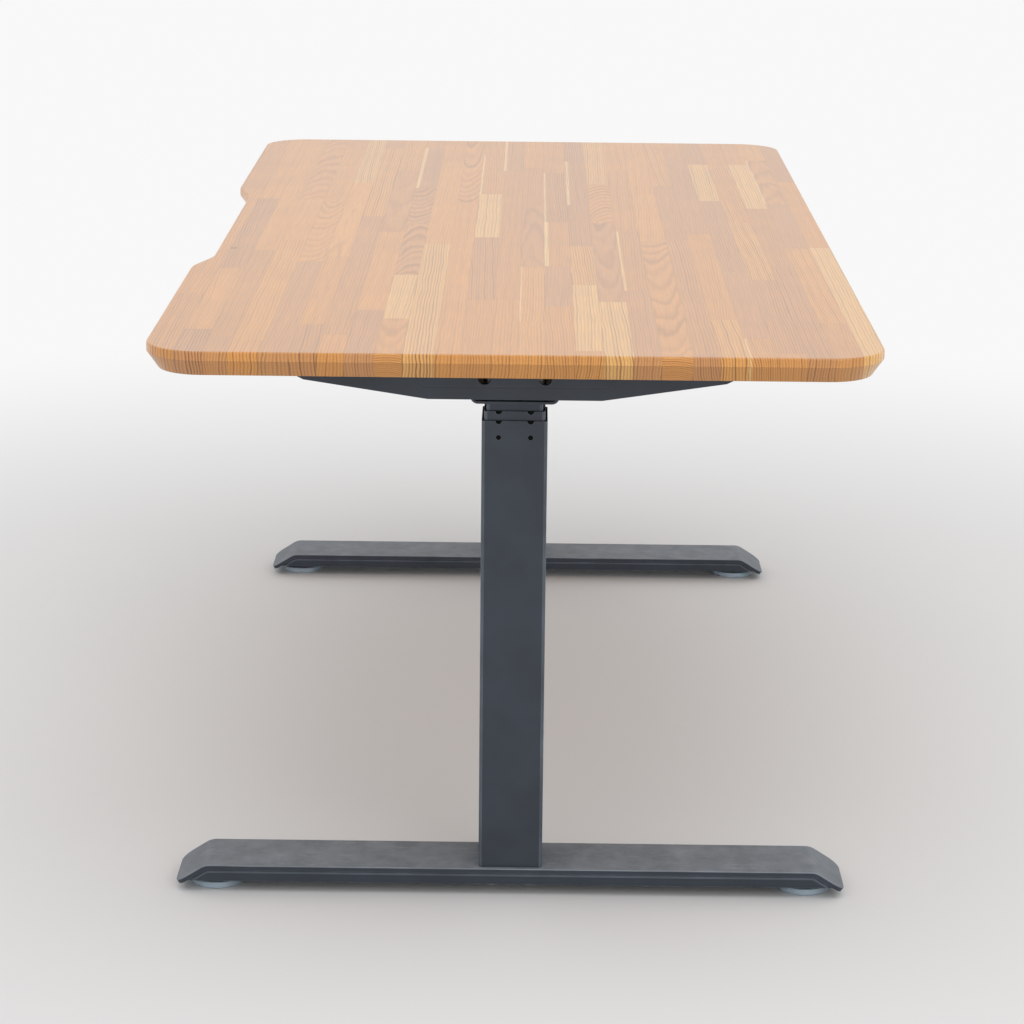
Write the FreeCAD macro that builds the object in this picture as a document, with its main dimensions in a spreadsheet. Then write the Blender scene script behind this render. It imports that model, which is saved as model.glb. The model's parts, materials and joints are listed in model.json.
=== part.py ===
import FreeCAD, Part
import os
import Sketcher

# Height adjustable standing desk: a solid wood worktop on two three-stage lifting legs.
# Row frame: millimetres, +Z up, origin on the floor below the middle of the desk.
# X runs along the worktop, the user sits on the -Y side, and the cable notch is in the +Y edge.
# The desk is drawn at its lowest height.

doc = FreeCAD.newDocument("StandingDesk")
sheet = doc.addObject("Spreadsheet::Sheet", "dims")

SIZES = [
    # worktop
    ("desk_length", 1524, "length of the worktop"),
    ("desk_depth", 762, "depth of the worktop"),
    ("top_thickness", 27, "thickness of the worktop"),
    ("low_height", 632.5, "floor to worktop at the lowest setting"),
    ("corner_radius", 60, "worktop corners in plan"),
    ("bevel_height", 17.5, "under-edge bevel, up the side"),
    ("bevel_depth", 12, "under-edge bevel, in from the side"),
    ("top_round", 2, "rounding of the worktop's upper arris"),
    ("notch_length", 574, "cable notch along the rear edge"),
    ("notch_depth", 19, "cable notch, in from the rear edge"),
    ("notch_run", 62, "slanted end of the cable notch, along the edge"),
    ("notch_round", 90, "rounding at the ends of the slants"),
    # feet
    ("leg_spacing", 1234, "between the two column axes"),
    ("foot_length", 739, "foot plate, tip to tip"),
    ("foot_width", 80, "foot plate width"),
    ("foot_plate", 5.5, "foot plate thickness"),
    ("foot_height", 32, "floor to the top of the foot"),
    ("foot_bend_run", 32.5, "bent end of the foot plate, along Y"),
    ("foot_bend_drop", 20.8, "bent end of the foot plate, downwards"),
    ("foot_bend_radius", 16, "inside radius of the bend"),
    ("foot_corner", 14, "foot plate corners at the tips"),
    ("foot_round", 0.8, "rounding of the foot plate's upper arris"),
    ("channel_inset", 2, "foot channel, in from the plate's sides"),
    ("channel_wall", 3, "foot channel wall"),
    ("channel_fold", 4, "outside radius of the foot channel's long folds"),
    ("channel_bottom", 13, "floor to the foot channel's lower edge"),
    ("saddle_length", 100, "bolt saddle under the column, along Y"),
    ("saddle_plate", 4, "bolt saddle thickness"),
    # levelling glides
    ("glide_inset", 43, "glide axis, in from the foot's tip"),
    ("glide_radius", 30, "glide pad radius"),
    ("glide_pad", 8, "glide pad height"),
    ("glide_chamfer", 1.5, "lower edge of the glide pad"),
    ("stud_radius", 4, "glide stud"),
    ("collar_radius", 7, "turning collar on the glide stud"),
    ("collar_height", 3, "turning collar height"),
    ("bush_radius", 9, "threaded bush in the foot channel"),
    ("bush_bottom", 12, "floor to the lower end of the bush"),
    # column tubes
    ("tube_size", 70, "outer tube across its flats"),
    ("tube_wall", 1.5, "wall of all three tubes"),
    ("tube_gap", 1, "gap between two stages, each side"),
    ("tube_corner", 3.5, "outside corner radius of the tubes"),
    ("rim_drop", 20, "head bracket down to the outer tube's rim"),
    ("rim_step", 10, "outer tube's rim up to the middle tube's rim"),
    ("middle_lift", 15.5, "foot top up to the middle tube's lower end"),
    ("inner_lift", 12.5, "middle tube's lower end up to the inner tube's"),
    ("stage_travel", 325, "travel of one stage"),
    ("guide_height", 60, "plastic guides between the stages"),
    ("guide_wall", 0.7, "thickness of the guides"),
    ("tab_spacing", 34, "between the two tabs on a face"),
    ("tab_radius", 3.4, "half-round tab notches in the rims"),
    ("stud_hole", 2.7, "radius of the guide stud holes"),
    ("stud_hole_drop", 18, "rim down to the stud holes"),
    ("plug_recess", 0.4, "guide studs, below the tube's face"),
    # lifting screws
    ("base_plate", 6, "plate in the foot of the outer tube"),
    ("base_gap", 0.1, "base plate to the tube, each side"),
    ("bolt_spacing", 42, "square of the column bolts"),
    ("bolt_radius", 3, "column and crossbar bolts"),
    ("bolt_clearance", 0.3, "round a bolt in its clearance hole"),
    ("bolt_head", 5.8, "radius over the corners of a hexagon head"),
    ("bolt_head_height", 4.5, "height of a bolt head"),
    ("bolt_flange", 6.5, "flange radius of a column bolt"),
    ("bolt_flange_height", 1.5, "flange height of a column bolt"),
    ("bolt_reach", 2, "column bolts past the base plate"),
    ("nut_tube_radius", 17, "standing nut tube"),
    ("nut_tube_wall", 2, "wall of the nut tube"),
    ("nut_drop", 43.5, "outer rim down to the top of the nut"),
    ("nut_flange", 6, "flange thickness of the lower nut"),
    ("nut_body", 20, "length of the nut inside its tube"),
    ("fit_gap", 0.05, "round a part that is pressed or clipped into its seat"),
    ("hollow_radius", 12, "hollow screw"),
    ("drive_radius", 7, "drive screw"),
    ("thread_gap", 0.3, "radial, in the nuts"),
    ("hollow_bore", 8.5, "bore of the hollow screw below its head"),
    ("hollow_collar", 18, "radius of the hollow screw's collar"),
    ("hollow_journal", 15.9, "radius of the hollow screw's head"),
    ("collar_gap", 3, "lower nut up to the hollow screw's collar"),
    ("collar_thickness", 10, "collar of the hollow screw"),
    ("head_length", 21, "head of the hollow screw above its collar"),
    ("hollow_lift", 12.5, "middle tube's lower end up to the hollow screw's"),
    ("carrier_radius", 23, "carrier tube"),
    ("carrier_wall", 2, "wall of the carrier tube"),
    ("carrier_flange", 6, "flange at the foot of the carrier tube"),
    ("carrier_gap", 0.2, "carrier flange to the middle tube, each side"),
    ("bearing_gap", 0.1, "running clearance in the bearing"),
    ("bearing_height", 12, "height of the bearing"),
    ("bearing_lift", 1, "collar up to the bearing"),
    ("drive_lift", 10, "inner tube's lower end up to the drive screw's"),
    ("journal_radius", 6, "top of the drive screw, in the gearbox"),
    # head of each leg
    ("frame_depth", 48, "worktop's underside down to the head bracket"),
    ("tray_half", 47, "half the width of the head bracket"),
    ("tray_wall", 2.5, "head bracket wall"),
    ("tray_corner", 8, "outside radius of the head bracket's lower edges"),
    ("tray_inboard", 150, "head bracket, in from the column axis"),
    ("tray_top_gap", 2, "head bracket to the worktop"),
    ("web_out", 45, "side bracket's face, out from the column axis"),
    ("web_wall", 3, "side bracket wall"),
    ("bracket_depth", 36, "side bracket, along X"),
    ("bracket_half", 229, "half the length of the side bracket"),
    ("bracket_tip", 20, "height of the side bracket's ends"),
    ("bracket_nose", 6.5, "slant at the lower corner of each end"),
    ("bracket_nose_drop", 3.2, "drop of that slant"),
    ("bracket_flat", 92, "half of the side bracket's level lower edge"),
    ("bracket_height", 42.8, "height of the side bracket in the middle"),
    ("rail_room", 2, "cut-out of the side bracket round the crossbars, each side"),
    ("panel_half", 101, "half the length of the raised panel"),
    ("panel_height", 28.5, "height of the raised panel"),
    ("panel_corner", 8, "lower corners of the raised panel"),
    ("panel_rise", 1.2, "how far the panel stands out"),
    ("web_hole", 7, "radius of the round holes in the side bracket"),
    ("web_hole_spacing", 64, "between the round holes"),
    ("web_hole_drop", 19.5, "worktop's underside down to the hole centres"),
    ("gearbox_length", 62, "gearbox along X"),
    ("gearbox_width", 66, "gearbox along Y"),
    ("gearbox_height", 40, "gearbox above the head bracket's floor"),
    ("gearbox_corner", 6, "gearbox corners"),
    ("spigot_radius", 25.6, "gearbox spigot in the inner tube"),
    ("spigot_length", 22, "gearbox spigot below the head bracket's floor"),
    ("journal_reach", 24, "drive screw above the head bracket's floor"),
    ("motor_radius", 20, "motor"),
    ("motor_length", 100, "motor"),
    ("motor_cap_radius", 17, "end cap of the motor"),
    ("motor_cap_length", 8, "end cap of the motor"),
    ("motor_lift", 21, "head bracket's floor up to the motor axis"),
    # crossbars
    ("rail_width", 22, "crossbar"),
    ("rail_height", 40, "crossbar"),
    ("rail_wall", 2, "crossbar wall"),
    ("rail_inboard", 430, "crossbar, in from the column axis"),
    ("bar_gap", 0.3, "inner bar in the crossbars, each side"),
    ("bar_half", 420, "half the length of the inner bars"),
    ("lock_inset", 20, "crossbar's end back to its locking bolt"),
    ("crossbar_bolt", 8, "length of a crossbar bolt"),
    ("button_head", 5.5, "head radius of a crossbar bolt"),
    ("button_head_height", 3.3, "head height of a crossbar bolt"),
    ("tray_bolt_first", 60, "column axis in to the first tray bolt"),
    ("tray_bolt_pitch", 70, "between the tray bolts"),
    # wood screws
    ("screw_radius", 2.2, "wood screw"),
    ("screw_reach", 14, "wood screw in the worktop"),
    ("screw_head", 4.8, "head radius of a wood screw"),
    ("screw_head_height", 2.6, "head height of a wood screw"),
    ("screw_hole", 2.7, "radius of a wood screw's hole in steel"),
    ("pilot_gap", 0.05, "round a wood screw in the worktop"),
    ("bracket_screw_in", 19, "side bracket's face in to its wood screws"),
    ("bracket_screw_near", 120, "column axis out to the nearer wood screws"),
    ("bracket_screw_far", 200, "column axis out to the further wood screws"),
    ("access_hole", 6, "radius of the screwdriver holes below them"),
    # control box
    ("box_length", 280, "control box along X"),
    ("box_width", 84, "control box along Y"),
    ("box_height", 32, "control box base"),
    ("box_wall", 2, "control box wall"),
    ("box_corner", 5, "control box corners"),
    ("lid_thickness", 3.5, "control box lid"),
    ("ear_length", 18, "mounting ears of the lid"),
    ("ear_spacing", 50, "between the two screws of an ear"),
    ("inlet_length", 20, "mains inlet along X"),
    ("inlet_width", 30, "mains inlet along Y"),
    ("inlet_height", 22, "mains inlet along Z"),
    ("inlet_wall", 3, "mains inlet wall"),
    ("inlet_depth", 15, "depth of the mains inlet's cavity"),
    # keypad
    ("keypad_x", 520, "middle of the keypad"),
    ("keypad_length", 126, "keypad along X"),
    ("keypad_depth", 50, "keypad along Y"),
    ("keypad_height", 20, "keypad along Z"),
    ("keypad_back", 4, "worktop's front edge back to the keypad's face"),
    ("keypad_corner", 3, "keypad corners"),
    ("keypad_wall", 3, "keypad wall"),
    ("keypad_cavity", 30, "depth of the space behind the face"),
    ("face_thickness", 2, "keypad face"),
    ("key_radius", 5.5, "keys"),
    ("key_gap", 0.3, "round and behind the keys"),
    ("key_left", 0.4, "keys, out of the face when pressed"),
    ("key_flange", 6.5, "flange radius of a key"),
    ("key_flange_height", 1.5, "flange height of a key"),
    ("key_stem", 3, "key behind its flange"),
    ("key_travel", 1, "travel of a key"),
    ("window_length", 28, "display window along X"),
    ("window_height", 10, "display window along Z"),
    ("window_thickness", 1.2, "display window"),
    ("window_proud", 0.2, "display window, out of the face"),
    ("window_at", -6, "keypad's middle to the middle of the window"),
    ("down_button_at", -50, "keypad's middle to the middle of this key"),
    ("up_button_at", -34, "keypad's middle to the middle of this key"),
    ("memory_button_1_at", 22, "keypad's middle to the middle of this key"),
    ("memory_button_2_at", 36, "keypad's middle to the middle of this key"),
    ("memory_button_3_at", 50, "keypad's middle to the middle of this key"),
    ("keypad_screw_spacing", 96, "between the keypad's wood screws"),
    ("keypad_screw_back", 42, "keypad's face back to its wood screws"),
    # shared
    ("overrun", 1, "how far a cut is taken past the surface it opens"),
]
for line, (alias, size, meaning) in enumerate(SIZES, start=1):
    sheet.set(f"A{line}", meaning)
    sheet.set(f"B{line}", str(size))
    sheet.setAlias(f"B{line}", alias)
doc.recompute()

# levels and places that follow from the sheet, as expressions
UNDER_TOP = "(dims.low_height - dims.top_thickness)"
HEAD_BOTTOM = f"({UNDER_TOP} - dims.frame_depth)"
TRAY_FLOOR = f"({HEAD_BOTTOM} + dims.tray_wall)"
OUTER_RIM = f"({HEAD_BOTTOM} - dims.rim_drop)"
MIDDLE_RIM = f"({OUTER_RIM} + dims.rim_step)"
MIDDLE_END = "(dims.foot_height + dims.middle_lift)"
INNER_END = f"({MIDDLE_END} + dims.inner_lift)"
MIDDLE_SIZE = "(dims.tube_size - 2 * dims.tube_wall - 2 * dims.tube_gap)"
INNER_SIZE = f"({MIDDLE_SIZE} - 2 * dims.tube_wall - 2 * dims.tube_gap)"
TUBE_OVERLAP = f"({OUTER_RIM} - {MIDDLE_END} - dims.stage_travel)"
NUT_TOP = f"({OUTER_RIM} - dims.nut_drop)"
NUT_SEAT = f"({NUT_TOP} - dims.nut_flange)"
BASE_TOP = "(dims.foot_height + dims.base_plate)"
COLLAR_BOTTOM = f"({NUT_TOP} + dims.collar_gap)"
COLLAR_TOP = f"({COLLAR_BOTTOM} + dims.collar_thickness)"
SCREW_HEAD_TOP = f"({COLLAR_TOP} + dims.head_length)"
BEARING_BOTTOM = f"({COLLAR_TOP} + dims.bearing_lift)"
BEARING_TOP = f"({BEARING_BOTTOM} + dims.bearing_height)"
SPIGOT_BOTTOM = f"({TRAY_FLOOR} - dims.spigot_length)"
BEND = "atan(dims.foot_bend_drop / dims.foot_bend_run)"
PLATE_UNDER = "(dims.foot_height - dims.foot_plate)"
WEB_UNDER = f"({PLATE_UNDER} - dims.channel_wall)"
FOOT_HALF = "(dims.foot_length / 2)"
FOOT_TIP = "(dims.foot_height - dims.foot_bend_drop)"
BEND_AT = f"({FOOT_HALF} - dims.foot_bend_run)"
UNDER_BEND = f"({BEND_AT} - dims.foot_plate * tan({BEND} / 2))"
GLIDE_AT = f"({FOOT_HALF} - dims.glide_inset)"
RAIL_AT = "(dims.tray_half + dims.rail_width / 2)"
RAIL_MIDDLE = f"({UNDER_TOP} - dims.rail_height / 2)"
RAIL_OUTER = "(dims.tray_half + dims.rail_width)"
TRAY_OUT = "(dims.web_out - dims.web_wall)"
LEG_X = "(dims.leg_spacing / 2)"
LOCK_AT = f"({LEG_X} - dims.rail_inboard + dims.lock_inset)"
KEYPAD_FRONT = "(-dims.desk_depth / 2 + dims.keypad_back)"
KEYPAD_MIDDLE = f"({UNDER_TOP} - dims.keypad_height / 2)"

SIDES = {"left": -1, "right": 1}
UP = FreeCAD.Vector(0, 0, 1)
TURNS = {
    "Z": FreeCAD.Rotation(),
    "X": FreeCAD.Rotation(FreeCAD.Vector(0, 1, 0), 90),
    "Y": FreeCAD.Rotation(FreeCAD.Vector(1, 0, 0), -90),
}
pieces = []


def number(expression):
    """The value of an expression of the sheet, as a plain number."""
    return float(sheet.evalExpression(expression))


def keep(piece, label):
    """Names a finished piece, so that it is written to a file of its own."""
    piece.Label = label
    pieces.append(piece)
    return piece


def locate(thing, x="0", y="0", z="0", rotation=None):
    """Puts an object at a place given by expressions."""
    thing.Placement = FreeCAD.Placement(FreeCAD.Vector(), rotation or FreeCAD.Rotation())
    thing.setExpression("Placement.Base.x", x)
    thing.setExpression("Placement.Base.y", y)
    thing.setExpression("Placement.Base.z", z)
    return thing


def stand_on_side(thing, side):
    """Moves a piece, drawn about the left leg's axis, to its own leg."""
    half_turn = FreeCAD.Rotation(UP, 0 if side == "left" else 180)
    return locate(thing, x=f"{SIDES[side]} * {LEG_X}", rotation=half_turn)


# ---------------------------------------------------------------- primitives


def box(name, length, width, height, x="0", y="0", z="0"):
    """A box centred on x and y, standing on z."""
    thing = doc.addObject("Part::Box", name)
    thing.setExpression("Length", length)
    thing.setExpression("Width", width)
    thing.setExpression("Height", height)
    return locate(thing, f"{x} - ({length}) / 2", f"{y} - ({width}) / 2", z)


def rod(name, radius, length, x="0", y="0", z="0", along="Z"):
    """A cylinder from (x, y, z) along one axis."""
    thing = doc.addObject("Part::Cylinder", name)
    thing.setExpression("Radius", radius)
    thing.setExpression("Height", length)
    return locate(thing, x, y, z, TURNS[along])


def join(name, things):
    """One solid from several that meet."""
    thing = doc.addObject("Part::MultiFuse", name)
    thing.Shapes = things
    return thing


def group(name, things):
    """Separate solids kept together, such as identical fasteners."""
    thing = doc.addObject("Part::Compound", name)
    thing.Links = things
    return thing


def cut(name, base, tools):
    """A solid with others cut out of it."""
    thing = doc.addObject("Part::Cut", name)
    thing.Base = base
    thing.Tool = tools[0] if len(tools) == 1 else join(f"{name}_tools", tools)
    return thing


# ------------------------------------------------- sketches and part design


def new_body(name):
    """An empty part design body."""
    return doc.addObject("PartDesign::Body", name)


def sketch(body, plane, loops, offset="0"):
    """A fully dimensioned sketch: each loop is a list of corners or one (x, y, radius) circle."""
    drawing = body.newObject("Sketcher::SketchObject", f"{body.Name}_sketch")
    origin = [f for f in body.Origin.OriginFeatures if f.Role == f"{plane}_Plane"]
    drawing.AttachmentSupport = [(origin[0], "")]
    drawing.MapMode = "FlatFace"
    drawing.setExpression("AttachmentOffset.Base.z", offset)
    for loop in loops:
        if isinstance(loop, tuple):
            x, y, radius = loop
            centre = FreeCAD.Vector(number(x), number(y), 0)
            line = drawing.addGeometry(Part.Circle(centre, UP, number(radius)))
            dimension(drawing, "DistanceX", (-1, 1, line, 3), x)
            dimension(drawing, "DistanceY", (-1, 1, line, 3), y)
            dimension(drawing, "Radius", (line,), radius)
            continue
        corners = [FreeCAD.Vector(number(x), number(y), 0) for x, y in loop]
        ends = corners[1:] + corners[:1]
        lines = [drawing.addGeometry(Part.LineSegment(a, b)) for a, b in zip(corners, ends)]
        for line, following in zip(lines, lines[1:] + lines[:1]):
            drawing.addConstraint(Sketcher.Constraint("Coincident", line, 2, following, 1))
        for line, (x, y) in zip(lines, loop):
            dimension(drawing, "DistanceX", (-1, 1, line, 1), x)
            dimension(drawing, "DistanceY", (-1, 1, line, 1), y)
    return drawing


def dimension(drawing, kind, points, expression):
    """One dimension of a sketch, bound to an expression."""
    index = drawing.addConstraint(Sketcher.Constraint(kind, *points, number(expression)))
    drawing.setExpression(f"Constraints[{index}]", expression)


def pad(body, drawing, length, both_ways=False):
    """Material from a sketch, along its normal or to both sides."""
    feature = body.newObject("PartDesign::Pad", f"{body.Name}_pad")
    feature.Profile = drawing
    feature.SideType = "Symmetric" if both_ways else "One side"
    feature.setExpression("Length", length)
    doc.recompute()
    return feature


def pocket(body, drawing, length, both_ways=False, along_normal=False):
    """A cut from a sketch, against its normal, along it or to both sides; it has to remove something."""
    before = body.Shape.Volume
    feature = body.newObject("PartDesign::Pocket", f"{body.Name}_pocket")
    feature.Profile = drawing
    feature.SideType = "Symmetric" if both_ways else "One side"
    feature.Reversed = along_normal
    feature.setExpression("Length", length)
    doc.recompute()
    if body.Shape.Volume > before - 0.01:
        raise RuntimeError(f"{feature.Name} cuts nothing")
    return feature


def fillet(body, radius, wanted):
    """Rounds every edge of the body that the test picks."""
    names = [f"Edge{i + 1}" for i, edge in enumerate(body.Shape.Edges) if wanted(edge)]
    if not names:
        raise RuntimeError(f"no edge of {body.Name} to round")
    base = body.Tip
    feature = body.newObject("PartDesign::Fillet", f"{body.Name}_fillet")
    feature.Base = (base, names)
    feature.setExpression("Radius", radius)
    doc.recompute()
    return feature


def middle_of(edge):
    """The point half way along an edge."""
    return edge.valueAt((edge.FirstParameter + edge.LastParameter) / 2)


def runs_along(edge, axis):
    """Whether an edge is straight and parallel to an axis, given as x, y or z."""
    if not isinstance(edge.Curve, Part.Line):
        return False
    return abs(getattr(edge.Curve.Direction, axis)) > 0.999


def upright(edge):
    """Whether an edge is straight and vertical."""
    return runs_along(edge, "z")


def rectangle(length, width, x="0", y="0"):
    """The corners of a rectangle centred on a point."""
    east = f"{x} + ({length}) / 2"
    west = f"{x} - ({length}) / 2"
    north = f"{y} + ({width}) / 2"
    south = f"{y} - ({width}) / 2"
    return [(west, south), (east, south), (east, north), (west, north)]


def mirrored(points):
    """A symmetric outline from its right half, listed from bottom to top."""
    left_half = [(f"-({x})", y) for x, y in reversed(points)]
    return list(points) + left_half


def square_tube(name, size, wall, corner, bottom, top):
    """A square tube with rounded corners between two levels."""
    body = new_body(name)
    pad(body, sketch(body, "XY", [rectangle(size, size)], bottom), f"({top}) - ({bottom})")
    fillet(body, corner, upright)
    bore = f"({size}) - 2 * ({wall})"
    inside = sketch(body, "XY", [rectangle(bore, bore)], bottom)
    pocket(body, inside, f"({top}) - ({bottom})", along_normal=True)
    edge_at = number(bore) / 2

    def inner(edge):
        at = middle_of(edge)
        return upright(edge) and abs(abs(at.x) - edge_at) < 0.01 and abs(abs(at.y) - edge_at) < 0.01

    fillet(body, f"({corner}) - ({wall})", inner)
    return body


# -------------------------------------------------------------------- the feet


def foot_plate(side):
    """Steel plate bent down at both ends, with rounded tips."""
    body = new_body(f"{side}_foot_plate_body")
    upper = [(FOOT_HALF, FOOT_TIP), (BEND_AT, "dims.foot_height")]
    lower = [
        (UNDER_BEND, PLATE_UNDER),
        (f"{FOOT_HALF} - dims.foot_plate * sin({BEND})", f"{FOOT_TIP} - dims.foot_plate * cos({BEND})"),
    ]
    pad(body, sketch(body, "YZ", [mirrored(lower + upper)]), "dims.foot_width", both_ways=True)
    bend_at = number(BEND_AT)
    under_bend = number(UNDER_BEND)
    half = number(FOOT_HALF)
    top = number("dims.foot_height")
    slope = number("dims.foot_bend_drop / dims.foot_bend_run")

    def at_bend(edge, y):
        return runs_along(edge, "x") and abs(abs(middle_of(edge).y) - y) < 0.1

    fillet(body, "dims.foot_bend_radius", lambda edge: at_bend(edge, under_bend))
    fillet(body, "dims.foot_bend_radius + dims.foot_plate", lambda edge: at_bend(edge, bend_at))
    thickness = number("dims.foot_plate")

    def at_tip(edge):
        beyond = abs(middle_of(edge).y) > half - thickness
        return beyond and not runs_along(edge, "x") and abs(edge.Length - thickness) < 0.01

    fillet(body, "dims.foot_corner", at_tip)

    def upper_arris(edge):
        at = middle_of(edge)
        surface = top - max(0.0, abs(at.y) - bend_at) * slope
        on_outline = abs(at.x) > 1 or abs(at.y) > half - 1
        return on_outline and abs(at.z - surface) < 1.5

    fillet(body, "dims.foot_round", upper_arris)
    bolts = sketch(body, "XY", bolt_circles("dims.bolt_radius + dims.bolt_clearance"), PLATE_UNDER)
    pocket(body, bolts, "dims.foot_plate", along_normal=True)
    keep(stand_on_side(body, side), f"{side}_foot_plate")


def bolt_circles(radius):
    """The square of four column bolts, as circles."""
    half = "dims.bolt_spacing / 2"
    return [(f"{i} * {half}", f"{j} * {half}", radius) for i in (-1, 1) for j in (-1, 1)]


def foot_channel(side):
    """Channel welded under the foot plate, with the bolt saddle and the threaded glide bushes."""
    body = new_body(f"{side}_foot_channel_body")
    width = "(dims.foot_width - 2 * dims.channel_inset)"
    rise = f"({PLATE_UNDER} - dims.channel_bottom)"
    outer = [(f"{UNDER_BEND} + {rise} / tan({BEND})", "dims.channel_bottom"), (UNDER_BEND, PLATE_UNDER)]
    pad(body, sketch(body, "YZ", [mirrored(outer)]), width, both_ways=True)
    bend_at = number(UNDER_BEND)
    level = number(PLATE_UNDER)

    def upper_bend(edge):
        at = middle_of(edge)
        return runs_along(edge, "x") and abs(abs(at.y) - bend_at) < 0.1 and abs(at.z - level) < 0.1

    fillet(body, "dims.foot_bend_radius", upper_bend)
    side_at = number(width) / 2

    def long_fold(edge):
        at = middle_of(edge)
        return abs(abs(at.x) - side_at) < 0.01 and at.z > level - 1 and abs(at.y) < bend_at

    fillet(body, "dims.channel_fold", long_fold)
    inner_bend = f"({UNDER_BEND} - dims.channel_wall * tan({BEND} / 2))"
    inner_rise = f"({WEB_UNDER} - dims.channel_bottom)"
    inner_end = f"{inner_bend} + {inner_rise} / tan({BEND})"
    inner = [(inner_end, "dims.channel_bottom"), (inner_bend, WEB_UNDER)]
    hollow = sketch(body, "YZ", [mirrored(inner)])
    pocket(body, hollow, f"{width} - 2 * dims.channel_wall", both_ways=True)
    bush_places = [("0", f"{j} * {GLIDE_AT}", "dims.bush_radius") for j in (-1, 1)]
    pad(body, sketch(body, "XY", bush_places, "dims.bush_bottom"), f"{WEB_UNDER} - dims.bush_bottom")
    outside = "(dims.saddle_length / 2)"
    inside = f"({outside} - dims.saddle_plate)"
    seat = "(dims.channel_bottom + dims.saddle_plate)"
    saddle_outer = [(outside, "dims.channel_bottom"), (outside, WEB_UNDER)]
    saddle_inner = [(inside, WEB_UNDER), (inside, seat)]
    saddle = sketch(body, "YZ", [mirrored(saddle_outer + saddle_inner)])
    pad(body, saddle, f"{width} - 2 * dims.channel_wall", both_ways=True)
    bolts = sketch(body, "XY", bolt_circles("dims.bolt_radius + dims.bolt_clearance"))
    pocket(body, bolts, PLATE_UNDER, along_normal=True)
    studs = [("0", f"{j} * {GLIDE_AT}", "dims.stud_radius + dims.thread_gap") for j in (-1, 1)]
    pocket(body, sketch(body, "XY", studs), PLATE_UNDER, along_normal=True)
    keep(stand_on_side(body, side), f"{side}_foot_channel")


def foot_bolts(side):
    """Four flanged hexagon bolts from under the saddle up into the column's base plate."""
    bolts = []
    half = "dims.bolt_spacing / 2"
    flange_bottom = "(dims.channel_bottom - dims.bolt_flange_height)"
    for i in (-1, 1):
        for j in (-1, 1):
            name = f"{side}_foot_bolt"
            x = f"{i} * {half}"
            y = f"{j} * {half}"
            head = doc.addObject("Part::Prism", f"{name}_head")
            head.Polygon = 6
            head.setExpression("Circumradius", "dims.bolt_head")
            head.setExpression("Height", "dims.bolt_head_height")
            locate(head, x, y, f"{flange_bottom} - dims.bolt_head_height")
            flange_height = "dims.bolt_flange_height"
            flange = rod(f"{name}_flange", "dims.bolt_flange", flange_height, x, y, flange_bottom)
            length = f"{BASE_TOP} + dims.bolt_reach - dims.channel_bottom"
            shank = rod(f"{name}_shank", "dims.bolt_radius", length, x, y, "dims.channel_bottom")
            bolts.append(join(name, [head, flange, shank]))
    keep(stand_on_side(group(f"{side}_foot_bolt_group", bolts), side), f"{side}_foot_bolts")


def glide(side, end, direction):
    """Levelling glide: a moulded pad on a threaded stud, screwed fully in."""
    name = f"{side}_{end}_glide"
    pad_side = rod(
        f"{name}_pad", "dims.glide_radius", "dims.glide_pad - dims.glide_chamfer", z="dims.glide_chamfer"
    )
    foot = doc.addObject("Part::Cone", f"{name}_foot")
    foot.setExpression("Radius1", "dims.glide_radius - dims.glide_chamfer")
    foot.setExpression("Radius2", "dims.glide_radius")
    foot.setExpression("Height", "dims.glide_chamfer")
    collar = rod(f"{name}_collar", "dims.collar_radius", "dims.collar_height", z="dims.glide_pad")
    stud_top = f"({PLATE_UNDER} - dims.thread_gap)"
    stud = rod(f"{name}_stud", "dims.stud_radius", f"{stud_top} - dims.glide_pad", z="dims.glide_pad")
    whole = join(f"{name}_body", [pad_side, foot, collar, stud])
    locate(whole, x=f"{SIDES[side]} * {LEG_X}", y=f"{direction} * {GLIDE_AT}")
    keep(whole, name)


# -------------------------------------------------------------- column tubes


def notched_tube(side, stage, size, bottom, rim):
    """A square tube with half-round notches in its rim and stud holes below them, on all four faces."""
    name = f"{side}_{stage}_tube"
    body = square_tube(f"{name}_body", size, "dims.tube_wall", "dims.tube_corner", bottom, rim)
    half = "dims.tab_spacing / 2"
    places = [(f"{j} * {half}", rim, "dims.tab_radius") for j in (-1, 1)]
    places += [(f"{j} * {half}", f"{rim} - dims.stud_hole_drop", "dims.stud_hole") for j in (-1, 1)]
    for plane in ("YZ", "XZ"):
        pocket(body, sketch(body, plane, places), f"{size} + 2 * dims.overrun", both_ways=True)
    keep(stand_on_side(body, side), name)


def inner_tube(side):
    """The top stage, welded to the head bracket."""
    name = f"{side}_inner_tube"
    corner = "dims.tube_corner"
    body = square_tube(f"{name}_body", INNER_SIZE, "dims.tube_wall", corner, INNER_END, HEAD_BOTTOM)
    keep(stand_on_side(body, side), name)


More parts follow.
